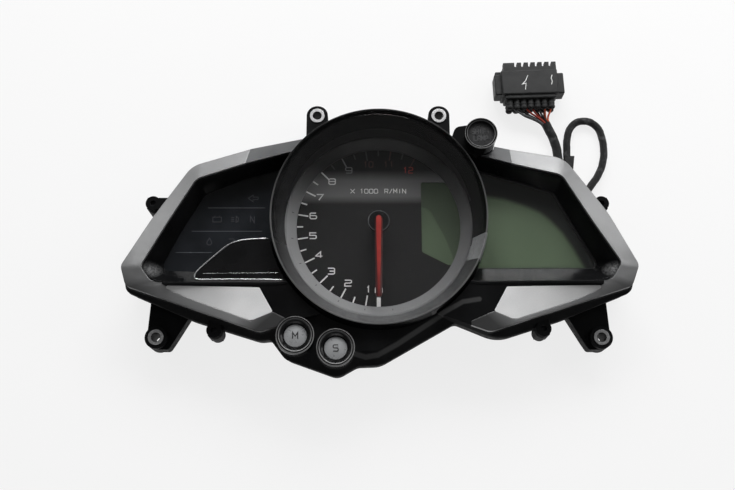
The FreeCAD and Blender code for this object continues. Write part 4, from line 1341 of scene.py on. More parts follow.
@dataclass
class PortRings:
    """Equal round pieces on every port of the plug, such as its towers, in the plug's own frame."""

    name: str
    start: float
    radius: float
    depth: float
    ribs: int = 1
    rib_pitch: float = 1.9
    columns: int = 7
    pitch: float = 3.85
    levels: Span = (4.8, 9.2)
    sides: int = 18

    def mesh(self, finish: Finish) -> Mesh:
        """Builds every ring.

        Args:
            finish: their finish.

        Returns:
            The mesh of all the rings.
        """
        tree = NodeTree(self.name, {
            "Columns": self.columns,
            "Pitch": self.pitch * MM,
            "Low row": self.levels[0] * MM,
            "Row gap": (self.levels[1] - self.levels[0]) * MM,
            "Start": self.start * MM,
            "Ribs": self.ribs,
            "Rib pitch": self.rib_pitch * MM,
            "Radius": self.radius * MM,
            "Depth": self.depth * MM,
            "Sides": self.sides,
            "Material": look(finish),
        })
        entry = tree.entry
        index = tree.add("GeometryNodeInputIndex").outputs[0]
        column = tree.number("MODULO", index, entry["Columns"])
        block = tree.number("FLOOR", tree.number("DIVIDE", index, entry["Columns"]))
        row = tree.number("MODULO", block, 2.0)
        rib = tree.number("FLOOR", tree.number("DIVIDE", block, 2.0))
        middle = tree.number("DIVIDE", tree.number("SUBTRACT", entry["Columns"], 1.0), 2.0)
        x = tree.product(tree.number("SUBTRACT", column, middle), entry["Pitch"])
        y = tree.number("ADD", entry["Start"], tree.product(rib, entry["Rib pitch"]))
        z = tree.number("ADD", entry["Low row"], tree.product(row, entry["Row gap"]))
        total = tree.product(tree.product(entry["Columns"], 2.0), entry["Ribs"])
        inputs = {"Vertices": entry["Sides"], "Radius": entry["Radius"], "Depth": entry["Depth"]}
        ring = tree.add("GeometryNodeMeshCylinder", inputs).outputs[0]
        tree.repeat(total, tree.vector(x, y, z), ring, (math.pi / 2, 0.0, 0.0))
        return tree.bake(self.name)


# Lettering
ROUND_BOX: tuple[Flat, ...] = (
    (0.2, 0), (0.8, 0), (1, 0.14), (1, 0.86), (0.8, 1), (0.2, 1), (0, 0.86), (0, 0.14), (0.2, 0),
)

# Each letter's strokes in a box one wide and one high.
GLYPHS: dict[str, tuple[tuple[Flat, ...], ...]] = {
    "0": (ROUND_BOX,),
    "1": (((0.3, 0.78), (0.6, 1), (0.6, 0)),),
    "2": (((0, 1), (0.85, 1), (1, 0.88), (1, 0.62), (0.85, 0.52), (0.15, 0.5), (0, 0.4), (0, 0), (1, 0)),),
    "3": (((0, 1), (0.85, 1), (1, 0.88), (1, 0.12), (0.85, 0), (0, 0)), ((0.25, 0.5), (1, 0.5))),
    "4": (((0.72, 0), (0.72, 1), (0, 0.32), (0, 0.26), (1, 0.26)),),
    "5": (((1, 1), (0, 1), (0, 0.56), (0.85, 0.56), (1, 0.44), (1, 0.12), (0.85, 0), (0, 0)),),
    "6": ((
        (0.92, 1), (0.15, 1), (0, 0.86), (0, 0.14), (0.15, 0), (0.85, 0), (1, 0.14), (1, 0.42),
        (0.85, 0.56), (0, 0.56),
    ),),
    "7": (((0, 1), (1, 1), (0.35, 0)),),
    "8": (ROUND_BOX, ((0, 0.52), (1, 0.52))),
    "9": ((
        (0.08, 0), (0.85, 0), (1, 0.14), (1, 0.86), (0.85, 1), (0.15, 1), (0, 0.86), (0, 0.58),
        (0.15, 0.44), (1, 0.44),
    ),),
    "A": (((0, 0), (0, 0.8), (0.25, 1), (0.75, 1), (1, 0.8), (1, 0)), ((0, 0.42), (1, 0.42))),
    "F": (((1, 1), (0, 1), (0, 0)), ((0, 0.5), (0.85, 0.5))),
    "H": (((0, 0), (0, 1)), ((1, 0), (1, 1)), ((0, 0.5), (1, 0.5))),
    "I": (((0.5, 0), (0.5, 1)),),
    "L": (((0, 1), (0, 0), (1, 0)),),
    "M": (((0, 0), (0, 1), (0.5, 0.4), (1, 1), (1, 0)),),
    "N": (((0, 0), (0, 1), (1, 0), (1, 1)),),
    "P": (((0, 0), (0, 1), (0.85, 1), (1, 0.86), (1, 0.58), (0.85, 0.44), (0, 0.44)),),
    "R": (((0, 0), (0, 1), (0.85, 1), (1, 0.86), (1, 0.6), (0.85, 0.48), (0, 0.48)), ((0.5, 0.48), (1, 0))),
    "S": ((
        (1, 1), (0.15, 1), (0, 0.87), (0, 0.64), (0.15, 0.52), (0.85, 0.5), (1, 0.37), (1, 0.13), (0.85, 0),
        (0, 0),
    ),),
    "T": (((0, 1), (1, 1)), ((0.5, 1), (0.5, 0))),
    "X": (((0, 0), (1, 1)), ((0, 1), (1, 0))),
    "/": (((0.1, -0.05), (0.9, 1.05)),),
}


@dataclass(frozen=True)
class Lettering:
    """Letters drawn as strokes, with the gap between two of them in letter widths."""

    height: float
    width: float
    line: float
    level: float
    gap: float = 0.45
    thickness: float = 0.06

    def write(self, shape: Shape, text: str, centre: Flat) -> None:
        """Writes a word.

        Args:
            shape: the mesh that takes the strokes.
            text: the word.
            centre: the middle of the word.
        """
        pitch = self.width * (1 + self.gap)
        start = -(len(text) - 1) / 2 * pitch - self.width / 2
        for number, letter in enumerate(text):
            left = start + number * pitch
            for path in GLYPHS[letter]:
                places = [(left + u * self.width, (v - 0.5) * self.height) for u, v in path]
                placed = [(centre[0] + x, centre[1] + y) for x, y in places]
                shape.stroke(placed, self.line, self.level, self.level + self.thickness)


# Studio
@dataclass
class Studio:
    """The camera, the pale floor and the soft lights, in metres.

    Each lamp is given by its name, place, width and height, and power.
    """

    eye: Point = (-0.00575, -0.14761, 0.50263)
    target: Point = (-0.00575, -0.00979, 0.022)
    lens: float = 47.09
    sensor: float = 36.0
    near: float = 0.01
    middle: Point = (0, 0, 0.02)
    lamps: tuple[tuple[str, Point, Flat, float], ...] = (
        ("key", (0.08, 0.68, 0.52), (0.80, 0.36), 7.4),
        ("left_fill", (-0.60, 0.36, 0.40), (0.4, 0.3), 0.7),
        ("right_fill", (0.62, 0.24, 0.42), (0.4, 0.3), 1.1),
        ("low_strip", (0.0, -0.66, 0.34), (0.9, 0.04), 0.45),
    )
    floor_size: float = 6.0
    floor_grain: Cloud = (40.0, 3.0)
    floor_tones: tuple[Colour, Colour] = ((0.80, 0.80, 0.80), (0.84, 0.84, 0.84))
    floor_glow: float = 0.80
    world_level: float = 0.13

    def put(self, name: str, data: bpy.types.ID, place: Point, target: Point) -> Thing:
        """Puts a camera or a lamp in the scene.

        Args:
            name: its name.
            data: what it is.
            place: where it stands.
            target: the point that it looks at.

        Returns:
            The new object.
        """
        thing = linked(name, data)
        thing.location = place
        way = Vector(target) - thing.location
        thing.rotation_euler = way.to_track_quat("-Z", "Y").to_euler()
        return thing

    def camera(self) -> None:
        """Sets the camera up."""
        data = bpy.data.cameras.new("camera")
        data.lens = self.lens
        data.sensor_width = self.sensor
        data.sensor_fit = "HORIZONTAL"
        data.clip_start = self.near
        bpy.context.scene.camera = self.put("camera", data, self.eye, self.target)

    def light(self) -> None:
        """Sets the lamps up, each a soft rectangle."""
        for name, place, size, power in self.lamps:
            data = bpy.data.lights.new(name, "AREA")
            data.shape = "RECTANGLE"
            data.size, data.size_y = size
            data.energy = power
            self.put(name, data, place, self.middle)

    def backdrop_level(self, graph: Graph) -> Socket:
        """How white the floor looks to a ray.

        Args:
            graph: the floor material's nodes.

        Returns:
            1 for the rays that should see a white surrounding, else 0.
        """
        path = graph.add("ShaderNodeLightPath").outputs
        seen = graph.number("MAXIMUM", path["Is Camera Ray"], path["Is Glossy Ray"])
        return graph.number("MAXIMUM", seen, path["Is Transmission Ray"])

    def floor(self) -> None:
        """Lays the floor, which looks white and keeps the object's shadow."""
        shape = Shape()
        half = self.floor_size / 2 / MM
        corners = [(-half, -half, 0), (half, -half, 0), (half, half, 0), (-half, half, 0)]
        shape.faces.append(tuple(shape.row(corners)))
        mesh = shape.mesh("floor")
        graph = Graph("pale_floor")
        colour = graph.mix(graph.noise(*self.floor_grain), *self.floor_tones)
        base = graph.surface(Base_Color=colour, Roughness=0.9, Specular_IOR_Level=0.1)
        glow = graph.add("ShaderNodeEmission", {"Color": (1, 1, 1, 1), "Strength": 1.0}).outputs[0]
        level = graph.product(self.backdrop_level(graph), self.floor_glow)
        mixed = graph.add("ShaderNodeMixShader", {0: level, 1: base, 2: glow}).outputs[0]
        mesh.materials.append(graph.finish(mixed))
        linked("floor", mesh)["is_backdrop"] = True

    def world(self) -> None:
        """A plain pale surrounding at a modest level."""
        world = bpy.data.worlds.new("surrounding")
        world.use_nodes = True
        background = world.node_tree.nodes["Background"].inputs
        background["Color"].default_value = (1, 1, 1, 1)
        background["Strength"].default_value = self.world_level
        bpy.context.scene.world = world

    def build(self) -> None:
        """Builds the studio."""
        bpy.context.scene.view_settings.view_transform = "Standard"
        self.camera()
        self.floor()
        self.world()
        self.light()
        LOG.info("studio ready")


# Cords
def centre_line(name: str, route: Sequence[Point], spacing: float) -> list[Vector]:
    """Points along a route's smooth line, evenly spaced.

    Args:
        name: a name for the line.
        route: its control points in metres.
        spacing: the distance between points, in millimetres.

    Returns:
        The points, in metres.
    """
    line = bpy.data.curves.new(name, "CURVE")
    line.dimensions = "3D"
    line.resolution_u = 24
    spline = line.splines.new("NURBS")
    spline.points.add(len(route) - 1)
    for point, place in zip(spline.points, route):
        point.co = (*place, 1)
    spline.order_u = 3
    spline.use_endpoint_u = True
    host = linked(name, line)
    graph = bpy.context.evaluated_depsgraph_get()
    mesh = bpy.data.meshes.new_from_object(host.evaluated_get(graph), depsgraph=graph)
    raw = [v.co.copy() for v in mesh.vertices]
    bpy.data.objects.remove(host)
    bpy.data.meshes.remove(mesh)
    reach = [0.0]
    for a, b in zip(raw, raw[1:]):
        reach.append(reach[-1] + (b - a).length)
    steps = max(round(reach[-1] / (spacing * MM)), 3)
    even = []
    k = 0
    for i in range(steps + 1):
        goal = reach[-1] * i / steps
        while k < len(raw) - 2 and reach[k + 1] < goal:
            k += 1
        share = (goal - reach[k]) / (reach[k + 1] - reach[k])
        even.append(raw[k].lerp(raw[k + 1], share))
    return even


def round_skin(turn: float, run: float) -> float:
    """The relief of a plain round tube."""
    return 0.0


def tube_mesh(
    name: str, line: Sequence[Vector], radius: float, sides: int,
    relief: Callable[[float, float], float] = round_skin,
) -> Mesh:
    """A round tube along a line, with a UV map in millimetres round it and along it.

    Args:
        name: the mesh's name.
        line: the centre line, in metres.
        radius: the tube's radius in millimetres.
        sides: how many sides it has.
        relief: how far the surface lies under the radius, from the turn (0 to 1) and the run.

    Returns:
        The mesh.
    """
    mesh = bpy.data.meshes.new(name)
    work = bmesh.new()
    layer = work.loops.layers.uv.new("wrap")
    side = (line[1] - line[0]).orthogonal().normalized()
    rows = []
    runs = []
    run = 0.0
    for i, place in enumerate(line):
        way = (line[min(i + 1, len(line) - 1)] - line[max(i - 1, 0)]).normalized()
        side = (side - way * side.dot(way)).normalized()
        up = way.cross(side)
        if i:
            run += (place - line[i - 1]).length / MM
        row = []
        for k in range(sides):
            turn = k / sides
            reach = (radius - relief(turn, run)) * MM
            angle = 2 * math.pi * turn
            row.append(work.verts.new(place + (side * math.cos(angle) + up * math.sin(angle)) * reach))
        rows.append(row)
        runs.append(run)
    girth = 2 * math.pi * radius
    for i in range(len(rows) - 1):
        for k in range(sides):
            n = (k + 1) % sides
            face = work.faces.new((rows[i][k], rows[i][n], rows[i + 1][n], rows[i + 1][k]))
            left, right = k / sides * girth, (k + 1) / sides * girth
            places = ((left, runs[i]), (right, runs[i]), (right, runs[i + 1]), (left, runs[i + 1]))
            for loop, uv in zip(face.loops, places):
                loop[layer].uv = uv
    work.faces.new(tuple(reversed(rows[0])))
    work.faces.new(tuple(rows[-1]))
    bmesh.ops.recalc_face_normals(work, faces=work.faces)
    shade(work, 50)
    work.to_mesh(mesh)
    work.free()
    return mesh


@dataclass
class Harness:
    """The taped loop under the wing, the taped lead, its wires and the plug.

    The routes are in metres. A block of the plug is given by its middle, width, depth and two levels. A
    layer of wires is given by its height in the bundle, in wire gaps, its row of ports and their columns.
    """

    loop_route: tuple[Point, ...] = (
        (0.106, 0.01506, 0.0046), (0.1176, 0.0298, 0.0040), (0.1228, 0.0374, 0.0027),
        (0.1257, 0.046, 0.0023), (0.126, 0.0548, 0.0022), (0.1242, 0.0637, 0.0023),
        (0.1192, 0.068, 0.0026), (0.1126, 0.0682, 0.0028), (0.1074, 0.0642, 0.0027),
        (0.105, 0.0552, 0.0027), (0.105, 0.0455, 0.0027),
    )
    lead_route: tuple[Point, ...] = (
        (0.1002, 0.0355, 0.0028), (0.1002, 0.0406, 0.0028), (0.1, 0.0458, 0.0028),
        (0.0996, 0.0512, 0.0028), (0.0983, 0.0565, 0.003), (0.0961, 0.0615, 0.0037),
        (0.0937, 0.0659, 0.0046),
    )
    loop_length: float = 0.0927
    lead_length: float = 0.0317
    loop_radius: float = 2.1
    lead_radius: float = 2.6
    loop_sides: int = 28
    lead_sides: int = 32
    cord_spacing: float = 0.6
    tape_pitch: float = 7.5
    tape_step: float = 0.16
    wire_radius: float = 0.55
    wire_gap: float = 2.15
    wire_spacing: float = 0.7
    wire_sides: int = 12
    wire_run_out: float = 2.0
    wire_run_in: float = 6.2
    wire_layers: tuple[tuple[float, int, tuple[int, ...]], ...] = (
        (0.87, 0, (0, 2, 4, 6)), (0.0, 0, (1, 3, 5)), (-0.87, 1, (1, 2, 4, 5)),
    )
    wire_finishes: tuple[Finish, ...] = (
        WIRE_GREY, WIRE_BLACK, WIRE_RED, WIRE_RED, WIRE_BLACK, WIRE_ORANGE, WIRE_ORANGE,
    )
    plug_place: Flat = (84.7, 86.6)
    plug_turn: float = 2.0
    plug_rounding: float = 0.7
    pitch: float = 3.85
    levels: Span = (9.2, 4.8)
    port_depth: float = -8.0
    blocks: tuple[tuple[float, ...], ...] = (
        (0.0, 0.8, 31.4, 14.6, 0.6, 13.4), (0.0, 0.4, 38.8, 12.4, 2.4, 11.4),
        (0.6, 9.6, 29.4, 4.4, 1.4, 9.6), (0.0, -7.4, 28.4, 2.6, 1.6, 12.4),
        (-16.0, 8.0, 4.6, 3.4, 2.4, 8.4),
    )
    rings: tuple[tuple[PortRings, Finish, Slot], ...] = (
        (PortRings("wire_towers", -10.2, 1.8, 7.0), PLUG_GREY, Slot.PLUG),
        (PortRings("tower_ribs", -12.9, 1.98, 0.7, ribs=3), PLUG_GREY, Slot.PLUG),
        (PortRings("wire_seals", -13.9, 1.3, 0.6), RUBBER, Slot.RUBBER),
    )
    pen_marks: tuple[tuple[Flat, ...], ...] = (
        ((-0.9, 4.6), (-2.4, 1.3), (-4.2, -0.6), (-2.2, -0.2), (-2.9, -4.0)),
        ((12.6, 4.4), (12.0, 2.4), (12.4, 0.6), (11.9, -1.4)),
    )
    pen_width: float = 0.42
    pen_levels: Span = (13.4, 13.46)

    def taped(self, turn: float, run: float) -> float:
        """How far a taped surface lies under its radius: each turn of tape laps over the last."""
        return self.tape_step * ((run / self.tape_pitch + turn) % 1.0)

    def in_plug(self, across: float, along: float, level: float) -> Vector:
        """Turns a place in the plug's own frame into the cluster's.

        Args:
            across: the place across the plug.
            along: the place along the plug, away from its wires.
            level: the place's level.

        Returns:
            The place, in metres.
        """
        turn = math.radians(self.plug_turn)
        x = self.plug_place[0] + across * math.cos(turn) - along * math.sin(turn)
        y = self.plug_place[1] + across * math.sin(turn) + along * math.cos(turn)
        return Vector((x, y, level)) * MM

    def bundles(self) -> dict[Finish, list[Mesh]]:
        """Runs each wire from the end of the tape to its port.

        Returns:
            The wires' meshes, by their finish.
        """
        end, before = Vector(self.lead_route[-1]), Vector(self.lead_route[-2])
        way = (end - before).normalized()
        across = way.cross(Vector((0, 0, 1))).normalized()
        rise = across.cross(way).normalized()
        ahead = (self.in_plug(0, 1, 0) - self.in_plug(0, 0, 0)).normalized()
        gap = self.wire_gap * self.wire_radius * MM
        middle = (len(self.wire_finishes) - 1) / 2
        found: dict[Finish, list[Mesh]] = {}
        for height, row, columns in self.wire_layers:
            for number, column in enumerate(columns):
                aside = (number - (len(columns) - 1) / 2) * gap
                start = end + across * aside + rise * (height * gap)
                target = self.in_plug((column - middle) * self.pitch, self.port_depth, self.levels[row])
                out = start + way * self.wire_run_out * MM
                back = target - ahead * self.wire_run_in * MM
                route = [tuple(place) for place in (start, out, back, target)]
                line = centre_line("wire_line", route, self.wire_spacing)
                mesh = tube_mesh("wire", line, self.wire_radius, self.wire_sides)
                found.setdefault(self.wire_finishes[column], []).append(mesh)
        return found

    def wires(self) -> list[Thing]:
        """Builds the wires, one piece for each colour.

        Returns:
            The pieces.
        """
        made = []
        stands_for: tuple[str, ...] = ("harness_wires",)
        for finish, meshes in sorted(self.bundles().items(), key=lambda bundle: bundle[0].name):
            work = bmesh.new()
            for mesh in meshes:
                work.from_mesh(mesh)
                bpy.data.meshes.remove(mesh)
            whole = bpy.data.meshes.new(finish.name)
            work.to_mesh(whole)
            work.free()
            made.append(piece(finish.name + "s", whole, finish, stands_for))
            stands_for = ()
        return made

    def placed(self, mesh: Mesh) -> Mesh:
        """Moves a mesh from the plug's own frame to its place.

        Args:
            mesh: the mesh.

        Returns:
            The same mesh.
        """
        for corner in mesh.vertices:
            corner.co = self.in_plug(*(c / MM for c in corner.co))
        return mesh

    def plug(self) -> list[Thing]:
        """Builds the plug's body with its two wings, its nose and the ribbed towers round the wires.

        Returns:
            The pieces.
        """
        shape = Shape()
        for x, y, width, depth, low, high in self.blocks:
            left, right, back, front = x - width / 2, x + width / 2, y - depth / 2, y + depth / 2
            shape.plate([(left, back), (right, back), (right, front), (left, front)], low, high)
        mesh = self.placed(shape.mesh("plug_body"))
        body = piece("plug_body", mesh, PLUG_GREY, ("connector_housing",))
        bevel = body.modifiers.new("round", "BEVEL")
        bevel.width = self.plug_rounding * MM
        bevel.segments = 3
        bevel.limit_method = "ANGLE"
        made = [body]
        for rings, finish, slot in self.rings:
            made.append(piece(rings.name, self.placed(rings.mesh(finish)), None))
        return made

    def squiggle(self) -> Thing:
        """Draws a hand's paint mark on the plug and a scuff on its wing.

        Returns:
            The piece.
        """
        shape = Shape()
        for mark in self.pen_marks:
            places = [self.in_plug(x, y, 0) / MM for x, y in mark]
            shape.stroke([(p.x, p.y) for p in places], self.pen_width, *self.pen_levels)
        return piece("paint_mark", shape.mesh("paint_mark"), PAINT_PEN)

    def build(self) -> None:
        """Builds both cords with what is on them."""
        line = centre_line("loop_line", self.loop_route, self.cord_spacing)
        mesh = tube_mesh("taped_loop", line, self.loop_radius, self.loop_sides, self.taped)
        loop = piece("taped_loop", mesh, ClothTape(), ("harness_loop",))
        line = centre_line("lead_line", self.lead_route, self.cord_spacing)
        mesh = tube_mesh("taped_lead", line, self.lead_radius, self.lead_sides, self.taped)
        lead = piece("taped_lead", mesh, ClothTape(), ("harness_lead",))
        wires = self.wires()
        plug = self.plug()
        mark = self.squiggle()


# Dial
@dataclass
class DialPrint:
    """What is printed on the dial: strokes for each unit and half unit, the numbers and the unit.

    A set of strokes is given by its name, count, first angle, length and ink, and a word of the unit by its
    text, place across, letter width and letter gap.
    """

    level: float = 22.0
    thickness: float = 0.08
    outer: float = 42.6
    zero_angle: float = 279.0
    zero_number_angle: float = 270.0
    unit_step: float = -18.0
    strokes: tuple[tuple[str, int, float, float, Finish], ...] = (
        ("unit_marks", 8, 261.0, 5.4, PRINT_WHITE),
        ("half_marks", 7, 252.0, 3.2, PRINT_WHITE),
        # Painted shade: the marks above eight are printed dimmer.
        ("nine_mark", 1, 117.0, 5.4, PRINT_HALF_SHADE),
        ("upper_unit_marks", 1, 99.0, 5.4, PRINT_SHADE),
        ("upper_half_marks", 4, 126.0, 3.2, PRINT_SHADE),
        ("red_marks", 2, 81.0, 5.4, PRINT_RED_SHADE),
    )
    stroke_width: float = 0.7
    zero_width: float = 2.0
    zero_length: float = 4.8
    number_groups: tuple[tuple[str, range, Finish], ...] = (
        ("white_numbers", range(9), PRINT_WHITE),
        # Painted shade: nine to eleven are printed dimmer.
        ("grey_numbers", range(9, 10), PRINT_HALF_SHADE),
        ("dim_numbers", range(10, 12), PRINT_RED_SHADE),
        ("red_numbers", range(12, 13), PRINT_RED),
    )
    number_radius: float = 34.6
    number_shift: float = 0.6
    number_height: float = 3.1
    number_width: float = 3.4
    one_width: float = 1.6
    pair_width: float = 2.1
    number_line: float = 0.54
    unit_words: tuple[tuple[str, float, float, float], ...] = (
        ("X", -13.6, 2.2, 0.3), ("1000", -5.1, 1.9, 0.34), ("R/MIN", 8.9, 1.75, 0.34),
    )
    unit_up: float = 19.7
    unit_height: float = 2.3
    unit_line: float = 0.34

    def marks(self) -> None:
        """Prints the strokes round the edge."""
        middle = self.level + self.thickness / 2
        for name, count, first, length, ink in self.strokes:
            marks = RadialMarks(
                name, count, first, self.unit_step, self.outer - length / 2, length, self.stroke_width,
                middle, self.thickness,
            )
            piece(name, marks.mesh(ink), None)
        shape = Shape()
        half, top = self.zero_width / 2, self.zero_length - self.outer
        outline = [(-half, -self.outer), (half, -self.outer), (half, top), (-half, top)]
        shape.plate(outline, self.level, self.level + self.thickness)
        piece("zero_mark", shape.mesh("zero_mark"), PRINT_WHITE)

    def number(self, shape: Shape, number: int) -> None:
        """Prints one number.

        Args:
            shape: the mesh that takes its strokes.
            number: the number.
        """
        degrees = self.zero_angle + self.unit_step * number if number else self.zero_number_angle
        angle = math.radians(degrees)
        across = self.number_radius * math.cos(angle)
        up = self.number_radius * math.sin(angle) + self.number_shift
        width = self.one_width if number == 1 else self.number_width if number < 10 else self.pair_width
        ink = Lettering(self.number_height, width, self.number_line, self.level, thickness=self.thickness)
        ink.write(shape, str(number), (across, up))

    def numbers(self) -> None:
        """Prints the numbers: white up to eight, then nine to eleven in dimmer inks as painted shade, and
        twelve in red.
        """
        for name, group, ink in self.number_groups:
            shape = Shape()
            for number in group:
                self.number(shape, number)
            piece(name, shape.mesh(name), ink)

    def unit(self) -> None:
        """Prints the unit of the scale."""
        shape = Shape()
        for word, across, width, gap in self.unit_words:
            ink = Lettering(self.unit_height, width, self.unit_line, self.level, gap, self.thickness)
            ink.write(shape, word, (across, self.unit_up))
        piece("unit_print", shape.mesh("unit_print"), PRINT_WHITE)

    def build(self) -> None:
        """Prints everything."""
        self.marks()
        self.numbers()
        self.unit()


@dataclass
class RingDashes:
    """Small dark dashes on the sloping silver ring, one at each unit."""

    count: int = 8
    first: float = 279.0
    step: float = -18.0
    radius: float = 45.2
    level: float = 24.80
    lean: float = 41.9
    length: float = 1.3
    width: float = 0.4
    thickness: float = 0.1

    def build(self) -> None:
        """Sets the dashes."""
        marks = RadialMarks(
            "ring_dashes", self.count, self.first, self.step, self.radius, self.length, self.width,
            self.level, self.thickness, self.lean,
        )
        piece("ring_dashes", marks.mesh(PRINT_DARK), None)


@dataclass
class Needle:
    """The needle: a tapering bar with a flat ridge between two sloping sides.

    The root and the tip are given by their bottom and top levels.
    """

    reach: float = 39.4
    tail: float = 2.5
    root: Span = (33.0, 34.55)
    tip: Span = (29.78, 31.27)
    root_width: float = 4.3
    tip_width: float = 3.2
    root_ridge: float = 0.62
    tip_ridge: float = 0.34
    side_drop: float = 0.75
    least_side: float = 0.1
    least_nose: float = 0.12
    brow_rise: float = 0.8
    brow_run: float = 0.2
    hub_radius: float = 6.0
    stations: int = 44
    rim_marks: tuple[float, ...] = (1.0, 1.0, 1.0, 0.85, 0.0, 0.0, 0.85, 1.0)

    def section(self, y: float) -> list[Point]:
        """The corners of the bar across one place along it.

        Args:
            y: the place along it.

        Returns:
            The corners, anticlockwise from the bottom left.
        """
        share = (y + self.reach) / (self.reach + self.tail)
        width = self.tip_width + (self.root_width - self.tip_width) * share
        for end in (self.tail - y, y + self.reach):
            nose = width / 2
            if end < nose:
                width *= max(math.sqrt(1 - (1 - end / nose) ** 2), self.least_nose)
        top = self.tip[1] + (self.root[1] - self.tip[1]) * share
        low = self.tip[0] + (self.root[0] - self.tip[0]) * share
        if y > -self.hub_radius:
            low = self.root[0]
        half = width / 2
        ridge = half * (self.tip_ridge + (self.root_ridge - self.tip_ridge) * share)
        side = max(top - self.side_drop, low + self.least_side)
        brow = side + (top - side) * self.brow_rise
        step = ridge + (half - ridge) * self.brow_run
        return [
            (-half, y, low), (half, y, low), (half, y, side), (step, y, brow), (ridge, y, top),
            (-ridge, y, top), (-step, y, brow), (-half, y, side),
        ]

    def build(self) -> None:
        """Lofts the bar along its length."""
        shape = Shape()
        rows = []
        for i in range(self.stations + 1):
            share = 0.5 - 0.5 * math.cos(math.pi * i / self.stations)
            y = self.tail - (self.tail + self.reach) * share
            rows.append(shape.row(self.section(y), self.rim_marks))
        shape.skin(rows)
        shape.cap(rows, turned=True)
        mesh = shape.mesh("needle_bar", 25, "rim")
        piece("needle_bar", mesh, NeedleRed(), ("needle",), Body.NEEDLE)


# Hood
@dataclass
class Hood:
    """The hood round the dial, whose mouth leans back, with a strip of clear tape over its side."""

    foot: float = 56.0
    foot_level: float = 29.0
    neck: float = 51.4
    neck_level: float = 22.0
    bore: float = 48.6
    ring_level: float = 27.0
    rim: float = 55.0
    mouth: float = 54.1
    rim_level: float = 43.0
    tilt: float = 8.0
    rounding: float = 0.4
    rounding_steps: int = 6
    rounding_start: float = 0.93
    steps: int = 192
    tape_turn: Span = (-24.0, -9.5)
    tape_steps: int = 14
    tape_levels: Span = (0.08, 0.16)
    tape_ends: Span = (0.62, 0.9)

    def leaning(self, angle: float, radius: float, level: float = 0.0) -> Vector:
        """A place given from the leaning mouth.

        Args:
            angle: its angle round the mouth.
            radius: its distance from the mouth's axis.
            level: its height above the mouth.

        Returns:
            The place.
        """
        place = self.flat(angle, radius, level)
        lean = math.radians(self.tilt)
        up = place.y * math.cos(lean) - place.z * math.sin(lean)
        rise = place.y * math.sin(lean) + place.z * math.cos(lean)
        return Vector((place.x, up, rise + self.rim_level))

    def flat(self, angle: float, radius: float, level: float) -> Vector:
        """A place on a level ring."""
        return Vector((radius * math.cos(angle), radius * math.sin(angle), level))

    def wall(self, angle: float, proud: float = 0.0) -> list[Vector]:
        """The hood's skin at one angle, from the outer foot over the rim to the bore.

        Args:
            angle: the angle round the dial.
            proud: how far the line stands outside the skin.

        Returns:
            The places along it.
        """
        foot = self.flat(angle, self.foot + proud, self.foot_level)
        outer = self.leaning(angle, self.rim + proud)
        line = [foot, foot.lerp(outer, self.rounding_start)]
        middle = (self.rim + self.mouth) / 2
        half = (self.rim - self.mouth) / 2 + proud
        for step in range(self.rounding_steps + 1):
            turn = math.pi * step / self.rounding_steps
            rise = (self.rounding + proud) * math.sin(turn) - self.rounding
            line.append(self.leaning(angle, middle + half * math.cos(turn), rise))
        line.append(self.flat(angle, self.bore - proud, self.ring_level + 0.02))
        return line

    def shell(self) -> None:
        """Builds the hood's shell."""
        shape = Shape()
        rows = []
        for i in range(self.steps):
            angle = 2 * math.pi * i / self.steps
            line = self.wall(angle)
            line.append(self.flat(angle, self.bore, self.neck_level))
            line.append(self.flat(angle, self.neck, self.neck_level))
            line.append(self.flat(angle, self.neck, self.foot_level))
            rows.append(shape.row(line))
        shape.skin(rows + rows[:1])
        piece("hood_shell", shape.mesh("hood_shell", 40), HoodPlastic(), ("tachometer_hood",))

    def tape(self) -> None:
        """Lays the clear tape over the hood's side, from just outside the rim to inside the mouth."""
        shape = Shape()
        first, last = (math.radians(a) for a in self.tape_turn)
        outside, inside = self.tape_ends
        rows = []
        for i in range(self.tape_steps + 1):
            angle = first + (last - first) * i / self.tape_steps
            sides = []
            for proud in self.tape_levels:
                line = self.wall(angle, proud)
                sides.append([line[0].lerp(line[1], outside), *line[1:-1], line[-2].lerp(line[-1], inside)])
            rows.append(shape.row([*sides[0], *reversed(sides[1])]))
        shape.skin(rows)
        shape.cap(rows, turned=True)
        piece("clear_tape", shape.mesh("clear_tape", 60), DUSTY_TAPE)

    def build(self) -> None:
        """Builds the shell and the tape."""
        self.shell()
        self.tape()


